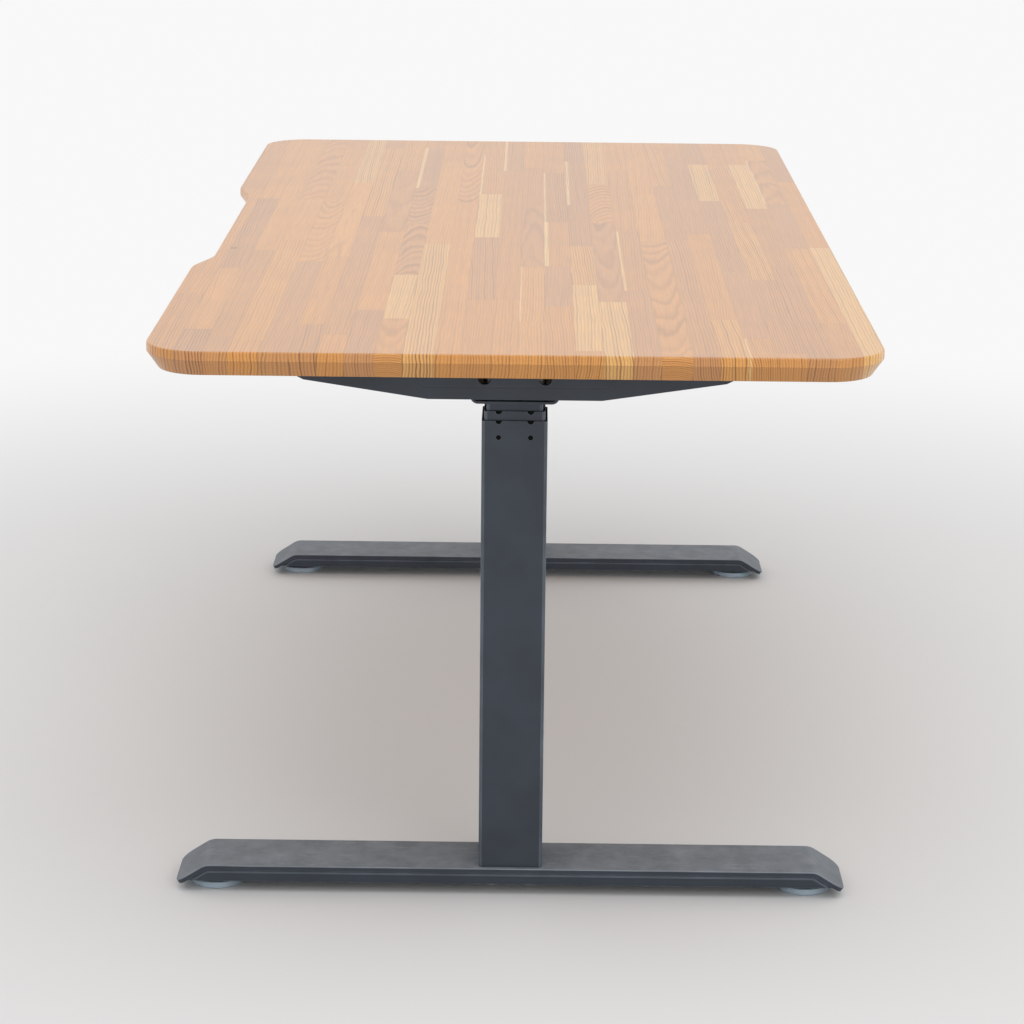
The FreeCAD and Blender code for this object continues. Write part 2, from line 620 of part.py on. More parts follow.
def guides(side, stage, size, rim):
    """Plastic liner in the top of a tube, with a tab in each notch and a stud in each hole."""
    name = f"{side}_{stage}_guides"
    bore = f"({size} - 2 * dims.tube_wall)"
    corner = "(dims.tube_corner - dims.tube_wall)"
    bottom = f"{rim} - dims.guide_height"
    liner = square_tube(f"{name}_liner", bore, "dims.guide_wall", corner, bottom, rim)
    face_in = f"({bore} / 2 - dims.guide_wall / 2)"
    reach = "(dims.guide_wall / 2 + dims.tube_wall - dims.plug_recess)"
    lugs = []
    for across in (-1, 1):
        offset = f"{across} * dims.tab_spacing / 2"
        for level, radius in (
            (rim, "dims.tab_radius - dims.fit_gap"),
            (f"{rim} - dims.stud_hole_drop", "dims.stud_hole - dims.fit_gap"),
        ):
            for start in (face_in, f"-{face_in} - {reach}"):
                lugs.append(rod(f"{name}_lug", radius, reach, start, offset, level, "X"))
                lugs.append(rod(f"{name}_lug", radius, reach, offset, start, level, "Y"))
    above = box(f"{name}_above", f"2 * {size}", f"2 * {size}", "2 * dims.tab_radius", z=rim)
    trimmed = cut(f"{name}_trimmed", join(f"{name}_lugs", [liner] + lugs), [above])
    keep(stand_on_side(trimmed, side), name)


# ----------------------------------------------------------- lifting screws


def leg_base(side):
    """Base plate in the outer tube's foot with the nut tube welded upright on it."""
    name = f"{side}_leg_base"
    width = "(dims.tube_size - 2 * dims.tube_wall - 2 * dims.base_gap)"
    body = new_body(f"{name}_body")
    pad(body, sketch(body, "XY", [rectangle(width, width)], "dims.foot_height"), "dims.base_plate")
    fillet(body, "dims.tube_corner - dims.tube_wall", upright)
    bore = "dims.nut_tube_radius - dims.nut_tube_wall"
    ring = sketch(body, "XY", [("0", "0", "dims.nut_tube_radius"), ("0", "0", bore)], BASE_TOP)
    pad(body, ring, f"{NUT_SEAT} - {BASE_TOP}")
    threads = sketch(body, "XY", bolt_circles("dims.bolt_radius"), "dims.foot_height")
    pocket(body, threads, "dims.base_plate", along_normal=True)
    keep(stand_on_side(body, side), name)


def lower_nut(side):
    """Flanged bronze nut in the top of the nut tube."""
    name = f"{side}_lower_nut"
    radius = "dims.nut_tube_radius - dims.nut_tube_wall - dims.fit_gap"
    shank = rod(f"{name}_shank", radius, "dims.nut_body", z=f"{NUT_SEAT} - dims.nut_body")
    flange = rod(f"{name}_flange", "dims.nut_tube_radius", "dims.nut_flange", z=NUT_SEAT)
    length = "dims.nut_body + dims.nut_flange"
    bore_radius = "dims.hollow_radius + dims.thread_gap"
    bore = rod(f"{name}_bore", bore_radius, length, z=f"{NUT_SEAT} - dims.nut_body")
    whole = cut(f"{name}_body", join(f"{name}_blank", [shank, flange]), [bore])
    keep(stand_on_side(whole, side), name)


def carrier_tube(side):
    """Tube standing in the middle stage on its own flange; its top holds the hollow screw's bearing."""
    name = f"{side}_carrier_tube"
    width = f"({MIDDLE_SIZE} - 2 * dims.tube_wall - 2 * dims.carrier_gap)"
    body = new_body(f"{name}_body")
    pad(body, sketch(body, "XY", [rectangle(width, width)], MIDDLE_END), "dims.carrier_flange")
    fillet(body, "dims.tube_corner - dims.tube_wall", upright)
    top = f"({BEARING_TOP} + dims.carrier_wall)"
    length = f"{top} - {MIDDLE_END}"
    pad(body, sketch(body, "XY", [("0", "0", "dims.carrier_radius")], MIDDLE_END), length)
    bore = sketch(body, "XY", [("0", "0", "dims.carrier_radius - dims.carrier_wall")], MIDDLE_END)
    pocket(body, bore, length, along_normal=True)
    keep(stand_on_side(body, side), name)


def screw_bearing(side):
    """Ball bearing, as its closed outer shape, between the carrier tube and the hollow screw's head."""
    name = f"{side}_screw_bearing"
    radius = "dims.carrier_radius - dims.carrier_wall - dims.fit_gap"
    ring = rod(f"{name}_ring", radius, "dims.bearing_height", z=BEARING_BOTTOM)
    bore_radius = "dims.hollow_journal + dims.bearing_gap"
    bore = rod(f"{name}_bore", bore_radius, "dims.bearing_height", z=BEARING_BOTTOM)
    keep(stand_on_side(cut(f"{name}_body", ring, [bore]), side), name)


def hollow_screw(side):
    """Hollow screw: threaded outside in the lower nut, and its head is the drive screw's nut."""
    name = f"{side}_hollow_screw"
    end = f"({MIDDLE_END} + dims.hollow_lift)"
    thread = rod(f"{name}_thread", "dims.hollow_radius", f"{COLLAR_BOTTOM} - {end}", z=end)
    collar = rod(f"{name}_collar", "dims.hollow_collar", "dims.collar_thickness", z=COLLAR_BOTTOM)
    head = rod(f"{name}_head", "dims.hollow_journal", "dims.head_length", z=COLLAR_TOP)
    bore = rod(f"{name}_bore", "dims.hollow_bore", f"{COLLAR_BOTTOM} - {end}", z=end)
    nut_radius = "dims.drive_radius + dims.thread_gap"
    nut = rod(f"{name}_nut", nut_radius, f"{SCREW_HEAD_TOP} - {end}", z=end)
    whole = cut(f"{name}_body", join(f"{name}_blank", [thread, collar, head]), [bore, nut])
    keep(stand_on_side(whole, side), name)


def drive_screw(side):
    """Solid screw turned by the gearbox; it runs in the head of the hollow screw."""
    name = f"{side}_drive_screw"
    end = f"({INNER_END} + dims.drive_lift)"
    shoulder = f"({SPIGOT_BOTTOM} - dims.collar_gap)"
    thread = rod(f"{name}_thread", "dims.drive_radius", f"{shoulder} - {end}", z=end)
    top = f"({TRAY_FLOOR} + dims.journal_reach)"
    journal = rod(f"{name}_journal", "dims.journal_radius", f"{top} - {shoulder}", z=shoulder)
    keep(stand_on_side(join(f"{name}_body", [thread, journal]), side), name)


# ----------------------------------------------------------- head of each leg


def gearbox(side):
    """Gearbox on the head bracket's floor, with a spigot down into the inner tube."""
    name = f"{side}_gearbox"
    body = new_body(f"{name}_body")
    outline = rectangle("dims.gearbox_length", "dims.gearbox_width")
    pad(body, sketch(body, "XY", [outline], TRAY_FLOOR), "dims.gearbox_height")
    fillet(body, "dims.gearbox_corner", upright)
    spigot = sketch(body, "XY", [("0", "0", "dims.spigot_radius")], SPIGOT_BOTTOM)
    pad(body, spigot, "dims.spigot_length")
    bore = sketch(body, "XY", [("0", "0", "dims.journal_radius + dims.thread_gap")], SPIGOT_BOTTOM)
    depth = "dims.spigot_length + dims.journal_reach + 2 * dims.thread_gap"
    pocket(body, bore, depth, along_normal=True)
    keep(stand_on_side(body, side), name)


def motor(side):
    """Motor lying along the head bracket, on the inner side of the gearbox."""
    name = f"{side}_motor"
    axis = f"({TRAY_FLOOR} + dims.motor_lift)"
    start = "(dims.gearbox_length / 2)"
    can = rod(f"{name}_can", "dims.motor_radius", "dims.motor_length", start, z=axis, along="X")
    end = f"({start} + dims.motor_length)"
    cap = rod(f"{name}_cap", "dims.motor_cap_radius", "dims.motor_cap_length", end, z=axis, along="X")
    keep(stand_on_side(join(f"{name}_body", [can, cap]), side), name)


def head_bracket(side):
    """Folded steel tray that carries the gearbox, the motor and the crossbars."""
    name = f"{side}_head_bracket"
    body = new_body(f"{name}_body")
    top = f"({UNDER_TOP} - dims.tray_top_gap)"
    inner_half = "dims.tray_half - dims.tray_wall"
    outside_wall = [("dims.tray_half", HEAD_BOTTOM), ("dims.tray_half", top)]
    inside_wall = [(inner_half, top), (inner_half, TRAY_FLOOR)]
    outline = mirrored(outside_wall + inside_wall)
    length = f"{TRAY_OUT} + dims.tray_inboard"
    pad(body, sketch(body, "YZ", [outline], f"-{TRAY_OUT}"), length)
    outside = number("dims.tray_half")
    bottom = number(HEAD_BOTTOM)
    floor = number(TRAY_FLOOR)
    inside = number(inner_half)

    def fold(edge, y, z):
        at = middle_of(edge)
        return runs_along(edge, "x") and abs(abs(at.y) - y) < 0.01 and abs(at.z - z) < 0.01

    fillet(body, "dims.tray_corner", lambda edge: fold(edge, outside, bottom))
    fillet(body, "dims.tray_corner - dims.tray_wall", lambda edge: fold(edge, inside, floor))
    spigot = sketch(body, "XY", [("0", "0", "dims.spigot_radius + dims.fit_gap")], HEAD_BOTTOM)
    pocket(body, spigot, "dims.tray_wall", along_normal=True)
    holes = [(x, RAIL_MIDDLE, "dims.bolt_radius + dims.bolt_clearance") for x in tray_bolt_places()]
    across = "2 * (dims.tray_half + dims.overrun)"
    pocket(body, sketch(body, "XZ", holes), across, both_ways=True)
    keep(stand_on_side(body, side), name)


def tray_bolt_places():
    """Where along X the crossbars are bolted to the head bracket."""
    return ["dims.tray_bolt_first", "(dims.tray_bolt_first + dims.tray_bolt_pitch)"]


def bracket_screw_places():
    """The wood screws of one side bracket, about the left leg's axis."""
    x = "(dims.bracket_screw_in - dims.web_out)"
    distances = ("dims.bracket_screw_near", "dims.bracket_screw_far")
    return [(x, f"{j} * {y}") for j in (-1, 1) for y in distances]


def side_bracket(side):
    """Pressed channel under the end of the worktop, with a raised panel on its face."""
    name = f"{side}_side_bracket"
    body = new_body(f"{name}_body")
    face = "-dims.web_out"
    tip_bottom = f"({UNDER_TOP} - dims.bracket_tip)"
    nose_bottom = f"({tip_bottom} - dims.bracket_nose_drop)"
    low = f"({UNDER_TOP} - dims.bracket_height)"
    outline = [
        ("dims.bracket_flat", low),
        ("dims.bracket_half - dims.bracket_nose", nose_bottom),
        ("dims.bracket_half", tip_bottom),
        ("dims.bracket_half", UNDER_TOP),
    ]
    pad(body, sketch(body, "YZ", [mirrored(outline)], face), "dims.bracket_depth")
    hollow = [
        ("dims.bracket_flat", f"{low} + dims.web_wall"),
        ("dims.bracket_half - dims.bracket_nose", f"{nose_bottom} + dims.web_wall"),
        ("dims.bracket_half - dims.web_wall", f"{tip_bottom} + dims.web_wall / 2"),
        ("dims.bracket_half - dims.web_wall", f"{UNDER_TOP} - dims.web_wall"),
    ]
    behind_web = f"{face} + dims.web_wall"
    flange = "dims.bracket_depth - dims.web_wall"
    pocket(body, sketch(body, "YZ", [mirrored(hollow)], behind_web), flange, along_normal=True)
    room = rectangle(f"2 * ({RAIL_OUTER} + dims.rail_room)", "2 * dims.bracket_height", y=UNDER_TOP)
    pocket(body, sketch(body, "YZ", [room], behind_web), flange, along_normal=True)
    panel = [("dims.panel_half", f"{UNDER_TOP} - dims.panel_height"), ("dims.panel_half", UNDER_TOP)]
    rise = f"{face} - dims.panel_rise"
    pad(body, sketch(body, "YZ", [mirrored(panel)], rise), "dims.panel_rise")
    panel_half = number("dims.panel_half")
    panel_bottom = number(f"{UNDER_TOP} - dims.panel_height")

    def panel_edge(edge):
        at = middle_of(edge)
        on_side = abs(abs(at.y) - panel_half) < 0.01
        return runs_along(edge, "x") and on_side and abs(at.z - panel_bottom) < 0.01

    fillet(body, "dims.panel_corner", panel_edge)
    half = "dims.web_hole_spacing / 2"
    level = f"{UNDER_TOP} - dims.web_hole_drop"
    rounds = [(f"{j} * {half}", level, "dims.web_hole") for j in (-1, 1)]
    pocket(body, sketch(body, "YZ", rounds, rise), "dims.panel_rise + dims.web_wall", along_normal=True)
    screws = [(x, y, "dims.screw_hole") for x, y in bracket_screw_places()]
    pocket(body, sketch(body, "XY", screws, UNDER_TOP), "dims.web_wall")
    access = [(x, y, "dims.access_hole") for x, y in bracket_screw_places()]
    reach = "dims.bracket_height / 2 + dims.web_wall"
    pocket(body, sketch(body, "XY", access, low), reach, along_normal=True)
    keep(stand_on_side(body, side), name)


# -------------------------------------------------------------------- crossbars


def crossbar(side, row, direction):
    """Hollow rail beside the head bracket; direction is its side of the leg's own Y axis."""
    name = f"{side}_{row}_crossbar"
    length = f"({TRAY_OUT} + dims.rail_inboard)"
    centre = f"((dims.rail_inboard - {TRAY_OUT}) / 2)"
    y = f"{direction} * {RAIL_AT}"
    bottom = f"({UNDER_TOP} - dims.rail_height)"
    outer = box(f"{name}_outer", length, "dims.rail_width", "dims.rail_height", centre, y, bottom)
    inner_width = "dims.rail_width - 2 * dims.rail_wall"
    inner_height = "dims.rail_height - 2 * dims.rail_wall"
    open_length = f"{length} + 2 * dims.overrun"
    floor = f"{bottom} + dims.rail_wall"
    tools = [box(f"{name}_inner", open_length, inner_width, inner_height, centre, y, floor)]
    inner_wall = f"{direction} * dims.tray_half"
    outer_wall = f"{direction} * {RAIL_OUTER}"
    holes = [(x, inner_wall) for x in tray_bolt_places()]
    holes.append(("dims.rail_inboard - dims.lock_inset", outer_wall))
    for x, wall in holes:
        tools.append(wall_hole(f"{name}_hole", "dims.bolt_radius + dims.bolt_clearance", x, wall))
    keep(stand_on_side(cut(f"{name}_body", outer, tools), side), name)


def wall_hole(name, radius, x, wall):
    """The tool for a bolt hole through one upright wall of a bar, centred on the wall's outer face."""
    reach = "(dims.rail_wall + dims.overrun)"
    return rod(name, radius, f"2 * {reach}", x, f"{wall} - {reach}", RAIL_MIDDLE, "Y")


def inner_bar(row, direction):
    """Bar that bridges the two halves of a crossbar and sets the frame's width."""
    name = f"{row}_inner_bar"
    gap = "(2 * dims.rail_wall + 2 * dims.bar_gap)"
    width = f"(dims.rail_width - {gap})"
    height = f"(dims.rail_height - {gap})"
    y = f"{direction} * {RAIL_AT}"
    bottom = f"({RAIL_MIDDLE} - {height} / 2)"
    outer = box(f"{name}_outer", "2 * dims.bar_half", width, height, "0", y, bottom)
    inner_width = f"{width} - 2 * dims.rail_wall"
    inner_height = f"{height} - 2 * dims.rail_wall"
    open_length = "2 * (dims.bar_half + dims.overrun)"
    floor = f"{bottom} + dims.rail_wall"
    tools = [box(f"{name}_inner", open_length, inner_width, inner_height, "0", y, floor)]
    wall = f"{direction} * ({RAIL_AT} + {width} / 2)"
    for sign in (-1, 1):
        tools.append(wall_hole(f"{name}_hole", "dims.bolt_radius", f"{sign} * {LOCK_AT}", wall))
    keep(cut(f"{name}_body", outer, tools), name)


def crossbar_bolts():
    """Button-head bolts: two hold each crossbar half to its head bracket, one locks the inner bar."""
    bolts = []
    tray_seat = "(dims.tray_half - dims.tray_wall)"
    places = [(LOCK_AT, RAIL_OUTER, -1)]
    places += [(f"({LEG_X} - {x})", tray_seat, 1) for x in tray_bolt_places()]
    for i in (-1, 1):
        for j in (-1, 1):
            for x, seat, outwards in places:
                way = j * outwards
                seat_y = f"{j} * {seat}"
                height = "dims.button_head_height"
                length = "dims.crossbar_bolt"
                head_from = f"{seat_y} - {height}" if way > 0 else seat_y
                shank_from = seat_y if way > 0 else f"{seat_y} - {length}"
                at = f"{i} * {x}"
                head = rod("bolt_head", "dims.button_head", height, at, head_from, RAIL_MIDDLE, "Y")
                shank = rod("bolt_shank", "dims.bolt_radius", length, at, shank_from, RAIL_MIDDLE, "Y")
                bolts.append(join("crossbar_bolt", [head, shank]))
    keep(group("crossbar_bolt_group", bolts), "crossbar_bolts")


# ------------------------------------------------------------- worktop, screws


def wood_screws():
    """Place and head level of every wood screw, as (x, y, underside of what it holds)."""
    places = []
    for sign in SIDES.values():
        for x, y in bracket_screw_places():
            at_x = f"({sign} * {LEG_X} - {sign} * ({x}))"
            places.append((at_x, y, f"({UNDER_TOP} - dims.web_wall)"))
    for i in (-1, 1):
        for j in (-1, 1):
            at_x = f"{i} * (dims.box_length + dims.ear_length) / 2"
            places.append((at_x, f"{j} * dims.ear_spacing / 2", f"({UNDER_TOP} - dims.lid_thickness)"))
        at_x = f"(dims.keypad_x + {i} * dims.keypad_screw_spacing / 2)"
        at_y = f"({KEYPAD_FRONT} + dims.keypad_screw_back)"
        places.append((at_x, at_y, f"({UNDER_TOP} - dims.keypad_wall)"))
    return places


def desktop():
    """Solid wood worktop with a bevelled under-edge and a cable notch in the rear edge."""
    body = new_body("desktop_body")
    half_length = "dims.desk_length / 2"
    half_depth = "dims.desk_depth / 2"
    notch_end = "dims.notch_length / 2"
    notch_floor = f"{half_depth} - dims.notch_depth"
    outline = [
        (half_length, f"-{half_depth}"),
        (half_length, half_depth),
        (notch_end, half_depth),
        (f"{notch_end} - dims.notch_run", notch_floor),
    ]
    pad(body, sketch(body, "XY", [mirrored(outline)], UNDER_TOP), "dims.top_thickness")
    between = (number(half_length) + number(notch_end)) / 2

    def corner(edge):
        return upright(edge) and abs(middle_of(edge).x) > between

    def slant_end(edge):
        return upright(edge) and abs(middle_of(edge).x) < between

    fillet(body, "dims.corner_radius", corner)
    fillet(body, "dims.notch_round", slant_end)
    under = number(UNDER_TOP)
    upper = number("dims.low_height")
    edges = enumerate(body.Shape.Edges, start=1)
    names = [f"Edge{i}" for i, edge in edges if abs(middle_of(edge).z - under) < 0.01]
    blank = body.Tip
    bevel = body.newObject("PartDesign::Chamfer", "desktop_bevel")
    bevel.Base = (blank, names)
    bevel.ChamferType = "Two distances"
    bevel.setExpression("Size", "dims.bevel_depth")
    bevel.setExpression("Size2", "dims.bevel_height")
    doc.recompute()
    fillet(body, "dims.top_round", lambda edge: abs(middle_of(edge).z - upper) < 0.01)
    pilots = [(x, y, "dims.screw_radius + dims.pilot_gap") for x, y, _ in wood_screws()]
    depth = "dims.screw_reach + dims.overrun"
    pocket(body, sketch(body, "XY", pilots, UNDER_TOP), depth, along_normal=True)
    keep(body, "desktop")


def desktop_screws():
    """Identical pan-head wood screws up into the worktop; those in deeper seats reach less far."""
    screws = []
    for x, y, seat in wood_screws():
        height = "dims.screw_head_height"
        head = rod("desktop_screw_head", "dims.screw_head", height, x, y, f"{seat} - {height}")
        shank = rod("desktop_screw_shank", "dims.screw_radius", "dims.screw_reach", x, y, seat)
        screws.append(join("desktop_screw", [head, shank]))
    keep(group("desktop_screw_group", screws), "desktop_screws")


# ------------------------------------------------------------------- control box


BOX_TOP = f"({UNDER_TOP} - dims.lid_thickness)"
BOX_BOTTOM = f"({BOX_TOP} - dims.box_height)"
INLET_MIDDLE = f"({BOX_BOTTOM} + dims.box_height / 2)"


def control_box_base():
    """Moulded tray of the control box, open upwards, with an opening for the mains inlet."""
    body = new_body("control_box_base_body")
    outline = rectangle("dims.box_length", "dims.box_width")
    pad(body, sketch(body, "XY", [outline], BOX_BOTTOM), "dims.box_height")
    fillet(body, "dims.box_corner", upright)
    inside = rectangle("dims.box_length - 2 * dims.box_wall", "dims.box_width - 2 * dims.box_wall")
    hollow = sketch(body, "XY", [inside], f"{BOX_BOTTOM} + dims.box_wall")
    pocket(body, hollow, "dims.box_height", along_normal=True)
    opening = rectangle("dims.inlet_width", "dims.inlet_height", y=INLET_MIDDLE)
    end = sketch(body, "YZ", [opening], "dims.box_length / 2")
    pocket(body, end, "dims.box_wall")
    keep(body, "control_box_base")


def control_box_lid():
    """Upper plate of the control box, with an ear at each end for its screws."""
    body = new_body("control_box_lid_body")
    outline = rectangle("dims.box_length + 2 * dims.ear_length", "dims.box_width")
    pad(body, sketch(body, "XY", [outline], BOX_TOP), "dims.lid_thickness")
    fillet(body, "dims.box_corner", upright)
    at_x = "(dims.box_length + dims.ear_length) / 2"
    at_y = "dims.ear_spacing / 2"
    holes = [(f"{i} * {at_x}", f"{j} * {at_y}", "dims.screw_hole") for i in (-1, 1) for j in (-1, 1)]
    pocket(body, sketch(body, "XY", holes, BOX_TOP), "dims.lid_thickness", along_normal=True)
    keep(body, "control_box_lid")


def mains_inlet():
    """Appliance inlet in the end wall of the control box."""
    body = new_body("mains_inlet_body")
    start = "dims.box_length / 2 - dims.inlet_length"
    outline = rectangle("dims.inlet_width", "dims.inlet_height", y=INLET_MIDDLE)
    pad(body, sketch(body, "YZ", [outline], start), "dims.inlet_length")
    width = "dims.inlet_width - 2 * dims.inlet_wall"
    height = "dims.inlet_height - 2 * dims.inlet_wall"
    inside = rectangle(width, height, y=INLET_MIDDLE)
    pocket(body, sketch(body, "YZ", [inside], "dims.box_length / 2"), "dims.inlet_depth")
    keep(body, "mains_inlet")


# ------------------------------------------------------------------------ keypad


KEY_NAMES = ("down_button", "up_button", "memory_button_1", "memory_button_2", "memory_button_3")
KEYS = {key_name: f"(dims.keypad_x + dims.{key_name}_at)" for key_name in KEY_NAMES}
WINDOW_X = "(dims.keypad_x + dims.window_at)"


def keypad_housing():
    """Moulded housing under the front edge, open at its front."""
    body = new_body("keypad_housing_body")
    back = f"{KEYPAD_FRONT} + dims.keypad_depth"
    front = f"{KEYPAD_FRONT} + dims.face_thickness"
    middle = f"(({back}) + ({front})) / 2"
    depth = "dims.keypad_depth - dims.face_thickness"
    outline = rectangle("dims.keypad_length", depth, "dims.keypad_x", middle)
    bottom = f"{UNDER_TOP} - dims.keypad_height"
    pad(body, sketch(body, "XY", [outline], bottom), "dims.keypad_height")
    middle_at = number(middle)
    fillet(body, "dims.keypad_corner", lambda edge: upright(edge) and middle_of(edge).y > middle_at)
    length = "dims.keypad_length - 2 * dims.keypad_wall"
    height = "dims.keypad_height - 2 * dims.keypad_wall"
    room = rectangle(length, "dims.keypad_cavity", "dims.keypad_x", f"{front} + dims.keypad_cavity / 2")
    pocket(body, sketch(body, "XY", [room], f"{bottom} + dims.keypad_wall"), height, along_normal=True)
    places = [p for p in wood_screws() if "keypad_x" in p[0]]
    screws = [(x, y, "dims.screw_hole") for x, y, _ in places]
    pocket(body, sketch(body, "XY", screws, UNDER_TOP), "dims.keypad_height")
    heads = [(x, y, "dims.screw_head + dims.bolt_clearance") for x, y, _ in places]
    head_room = "dims.keypad_height - dims.keypad_wall"
    pocket(body, sketch(body, "XY", heads, bottom), head_room, along_normal=True)
    keep(body, "keypad_housing")


def keypad_face():
    """Front plate of the keypad with a round hole for each key and a recess for the window."""
    name = "keypad_face"
    plate = box(
        f"{name}_plate",
        "dims.keypad_length",
        "dims.face_thickness",
        "dims.keypad_height",
        "dims.keypad_x",
        f"{KEYPAD_FRONT} + dims.face_thickness / 2",
        f"{UNDER_TOP} - dims.keypad_height",
    )
    depth = "(dims.window_thickness - dims.window_proud)"
    recess_y = f"{KEYPAD_FRONT} + {depth} / 2"
    recess_z = f"{KEYPAD_MIDDLE} - dims.window_height / 2"
    length = "dims.window_length"
    height = "dims.window_height"
    tools = [box(f"{name}_recess", length, depth, height, WINDOW_X, recess_y, recess_z)]
    radius = "dims.key_radius + dims.key_gap"
    for x in KEYS.values():
        through = "dims.face_thickness"
        tools.append(rod(f"{name}_hole", radius, through, x, KEYPAD_FRONT, KEYPAD_MIDDLE, "Y"))
    keep(cut(f"{name}_body", plate, tools), name)


def display_window():
    """Clear window over the height display."""
    body = new_body("display_window_body")
    outline = rectangle("dims.window_length", "dims.window_height", WINDOW_X, KEYPAD_MIDDLE)
    proud = f"-({KEYPAD_FRONT} - dims.window_proud)"
    drawing = sketch(body, "XZ", [outline], f"{proud} - dims.window_thickness")
    pad(body, drawing, "dims.window_thickness")
    keep(body, "display_window")


def key(name, x):
    """One key: a cap through the face, with a flange behind it that stops it falling out."""
    front = f"({KEYPAD_FRONT} - dims.key_travel - dims.key_left)"
    seat = f"({KEYPAD_FRONT} + dims.face_thickness + dims.key_gap)"
    cap = rod(f"{name}_cap", "dims.key_radius", f"{seat} - {front}", x, front, KEYPAD_MIDDLE, "Y")
    thickness = "dims.key_flange_height"
    flange = rod(f"{name}_flange", "dims.key_flange", thickness, x, seat, KEYPAD_MIDDLE, "Y")
    length = f"{thickness} + dims.key_stem"
    stem = rod(f"{name}_stem", "dims.key_stem", length, x, seat, KEYPAD_MIDDLE, "Y")
    keep(join(f"{name}_body", [cap, flange, stem]), name)


# ------------------------------------------------------------------ the assembly

for leg in SIDES:
    foot_plate(leg)
    foot_channel(leg)
    foot_bolts(leg)
    glide(leg, "front", -1)
    glide(leg, "rear", 1)
    notched_tube(leg, "outer", "dims.tube_size", "dims.foot_height", OUTER_RIM)
    guides(leg, "outer", "dims.tube_size", OUTER_RIM)
    notched_tube(leg, "middle", MIDDLE_SIZE, MIDDLE_END, MIDDLE_RIM)
    guides(leg, "middle", MIDDLE_SIZE, MIDDLE_RIM)
    inner_tube(leg)
    leg_base(leg)
    lower_nut(leg)
    carrier_tube(leg)
    screw_bearing(leg)
    hollow_screw(leg)
    drive_screw(leg)
    gearbox(leg)
    motor(leg)
    head_bracket(leg)
    side_bracket(leg)
    # the right leg is the left one turned half round, so its front crossbar is on its own +Y side
    crossbar(leg, "front", SIDES[leg])
    crossbar(leg, "rear", -SIDES[leg])
inner_bar("front", -1)
inner_bar("rear", 1)
crossbar_bolts()
desktop()
desktop_screws()
control_box_base()
control_box_lid()
mains_inlet()
keypad_housing()
keypad_face()
display_window()
for key_name, key_x in KEYS.items():
    key(key_name, key_x)

doc.recompute()

for thing in doc.Objects:
    if "Invalid" in thing.State or "Error" in thing.State:
        raise RuntimeError(f"{thing.Label} failed: {thing.State}")
for piece in pieces:
    if piece.Shape.isNull() or not piece.Shape.isValid():
        raise RuntimeError(f"{piece.Label} has no valid shape")

os.makedirs("parts", exist_ok=True)
for piece in pieces:
    piece.Shape.exportStep(f"parts/{piece.Label}.step")
    bounds = piece.Shape.BoundBox
    print(
        f"{piece.Label}: {len(piece.Shape.Solids)} solid(s), {piece.Shape.Volume:.0f} mm3, "
        f"x {bounds.XMin:.1f}..{bounds.XMax:.1f}, y {bounds.YMin:.1f}..{bounds.YMax:.1f}, "
        f"z {bounds.ZMin:.1f}..{bounds.ZMax:.1f}"
    )
print(f"{len(pieces)} pieces written")
lift = 2 * number("dims.stage_travel")
print(f"raised by {lift:.0f} mm, two tubes still overlap by {number(TUBE_OVERLAP):.0f} mm")
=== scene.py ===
import json
import logging
import math
from collections.abc import Mapping, Sequence
from dataclasses import dataclass, field, fields
from enum import Enum
from typing import Any

import bmesh
import bpy
from mathutils import Matrix, Quaternion, Vector

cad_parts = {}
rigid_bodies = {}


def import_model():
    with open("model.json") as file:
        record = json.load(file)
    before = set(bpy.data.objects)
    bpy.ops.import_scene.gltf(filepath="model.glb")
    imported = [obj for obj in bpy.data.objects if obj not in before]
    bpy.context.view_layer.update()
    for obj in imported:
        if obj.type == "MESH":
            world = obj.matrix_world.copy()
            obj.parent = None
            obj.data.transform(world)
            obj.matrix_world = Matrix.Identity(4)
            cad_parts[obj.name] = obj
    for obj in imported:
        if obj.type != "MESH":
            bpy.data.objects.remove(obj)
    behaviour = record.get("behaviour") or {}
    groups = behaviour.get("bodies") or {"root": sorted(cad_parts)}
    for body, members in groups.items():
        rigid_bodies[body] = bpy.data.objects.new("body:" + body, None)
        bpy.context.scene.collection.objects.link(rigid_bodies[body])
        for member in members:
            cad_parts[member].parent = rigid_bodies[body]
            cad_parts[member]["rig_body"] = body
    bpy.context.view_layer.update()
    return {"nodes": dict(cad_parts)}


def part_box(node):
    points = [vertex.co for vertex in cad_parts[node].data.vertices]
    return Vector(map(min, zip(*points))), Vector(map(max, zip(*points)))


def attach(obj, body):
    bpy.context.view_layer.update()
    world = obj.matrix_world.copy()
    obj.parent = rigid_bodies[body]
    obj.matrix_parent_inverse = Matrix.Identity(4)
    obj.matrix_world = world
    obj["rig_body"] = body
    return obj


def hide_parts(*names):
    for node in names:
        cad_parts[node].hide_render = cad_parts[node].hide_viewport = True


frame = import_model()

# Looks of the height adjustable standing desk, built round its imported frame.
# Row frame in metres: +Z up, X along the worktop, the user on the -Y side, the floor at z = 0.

Tree = bpy.types.NodeTree
Piece = bpy.types.Object

LOG = logging.getLogger("standing_desk")
MM = 0.001
LEGS = ("left", "right")
NOISE = "ShaderNodeTexNoise"
MIX = "ShaderNodeMix"


# ------------------------------------------------------------------ node trees


def linear(hex_colour: str, factor: float = 1.0) -> tuple[float, float, float, float]:
    """Turns an sRGB hex colour into the linear colour that a shader works with.

    Args:
        hex_colour: Six hex digits, as in "c89567".
        factor: How many times as bright it is made.

    Returns:
        Red, green, blue, and 1 for the alpha.
    """
    channels = [int(hex_colour[i : i + 2], 16) / 255 for i in (0, 2, 4)]
    light = [c / 12.92 if c <= 0.04045 else ((c + 0.055) / 1.055) ** 2.4 for c in channels]
    return (*(factor * c for c in light), 1.0)


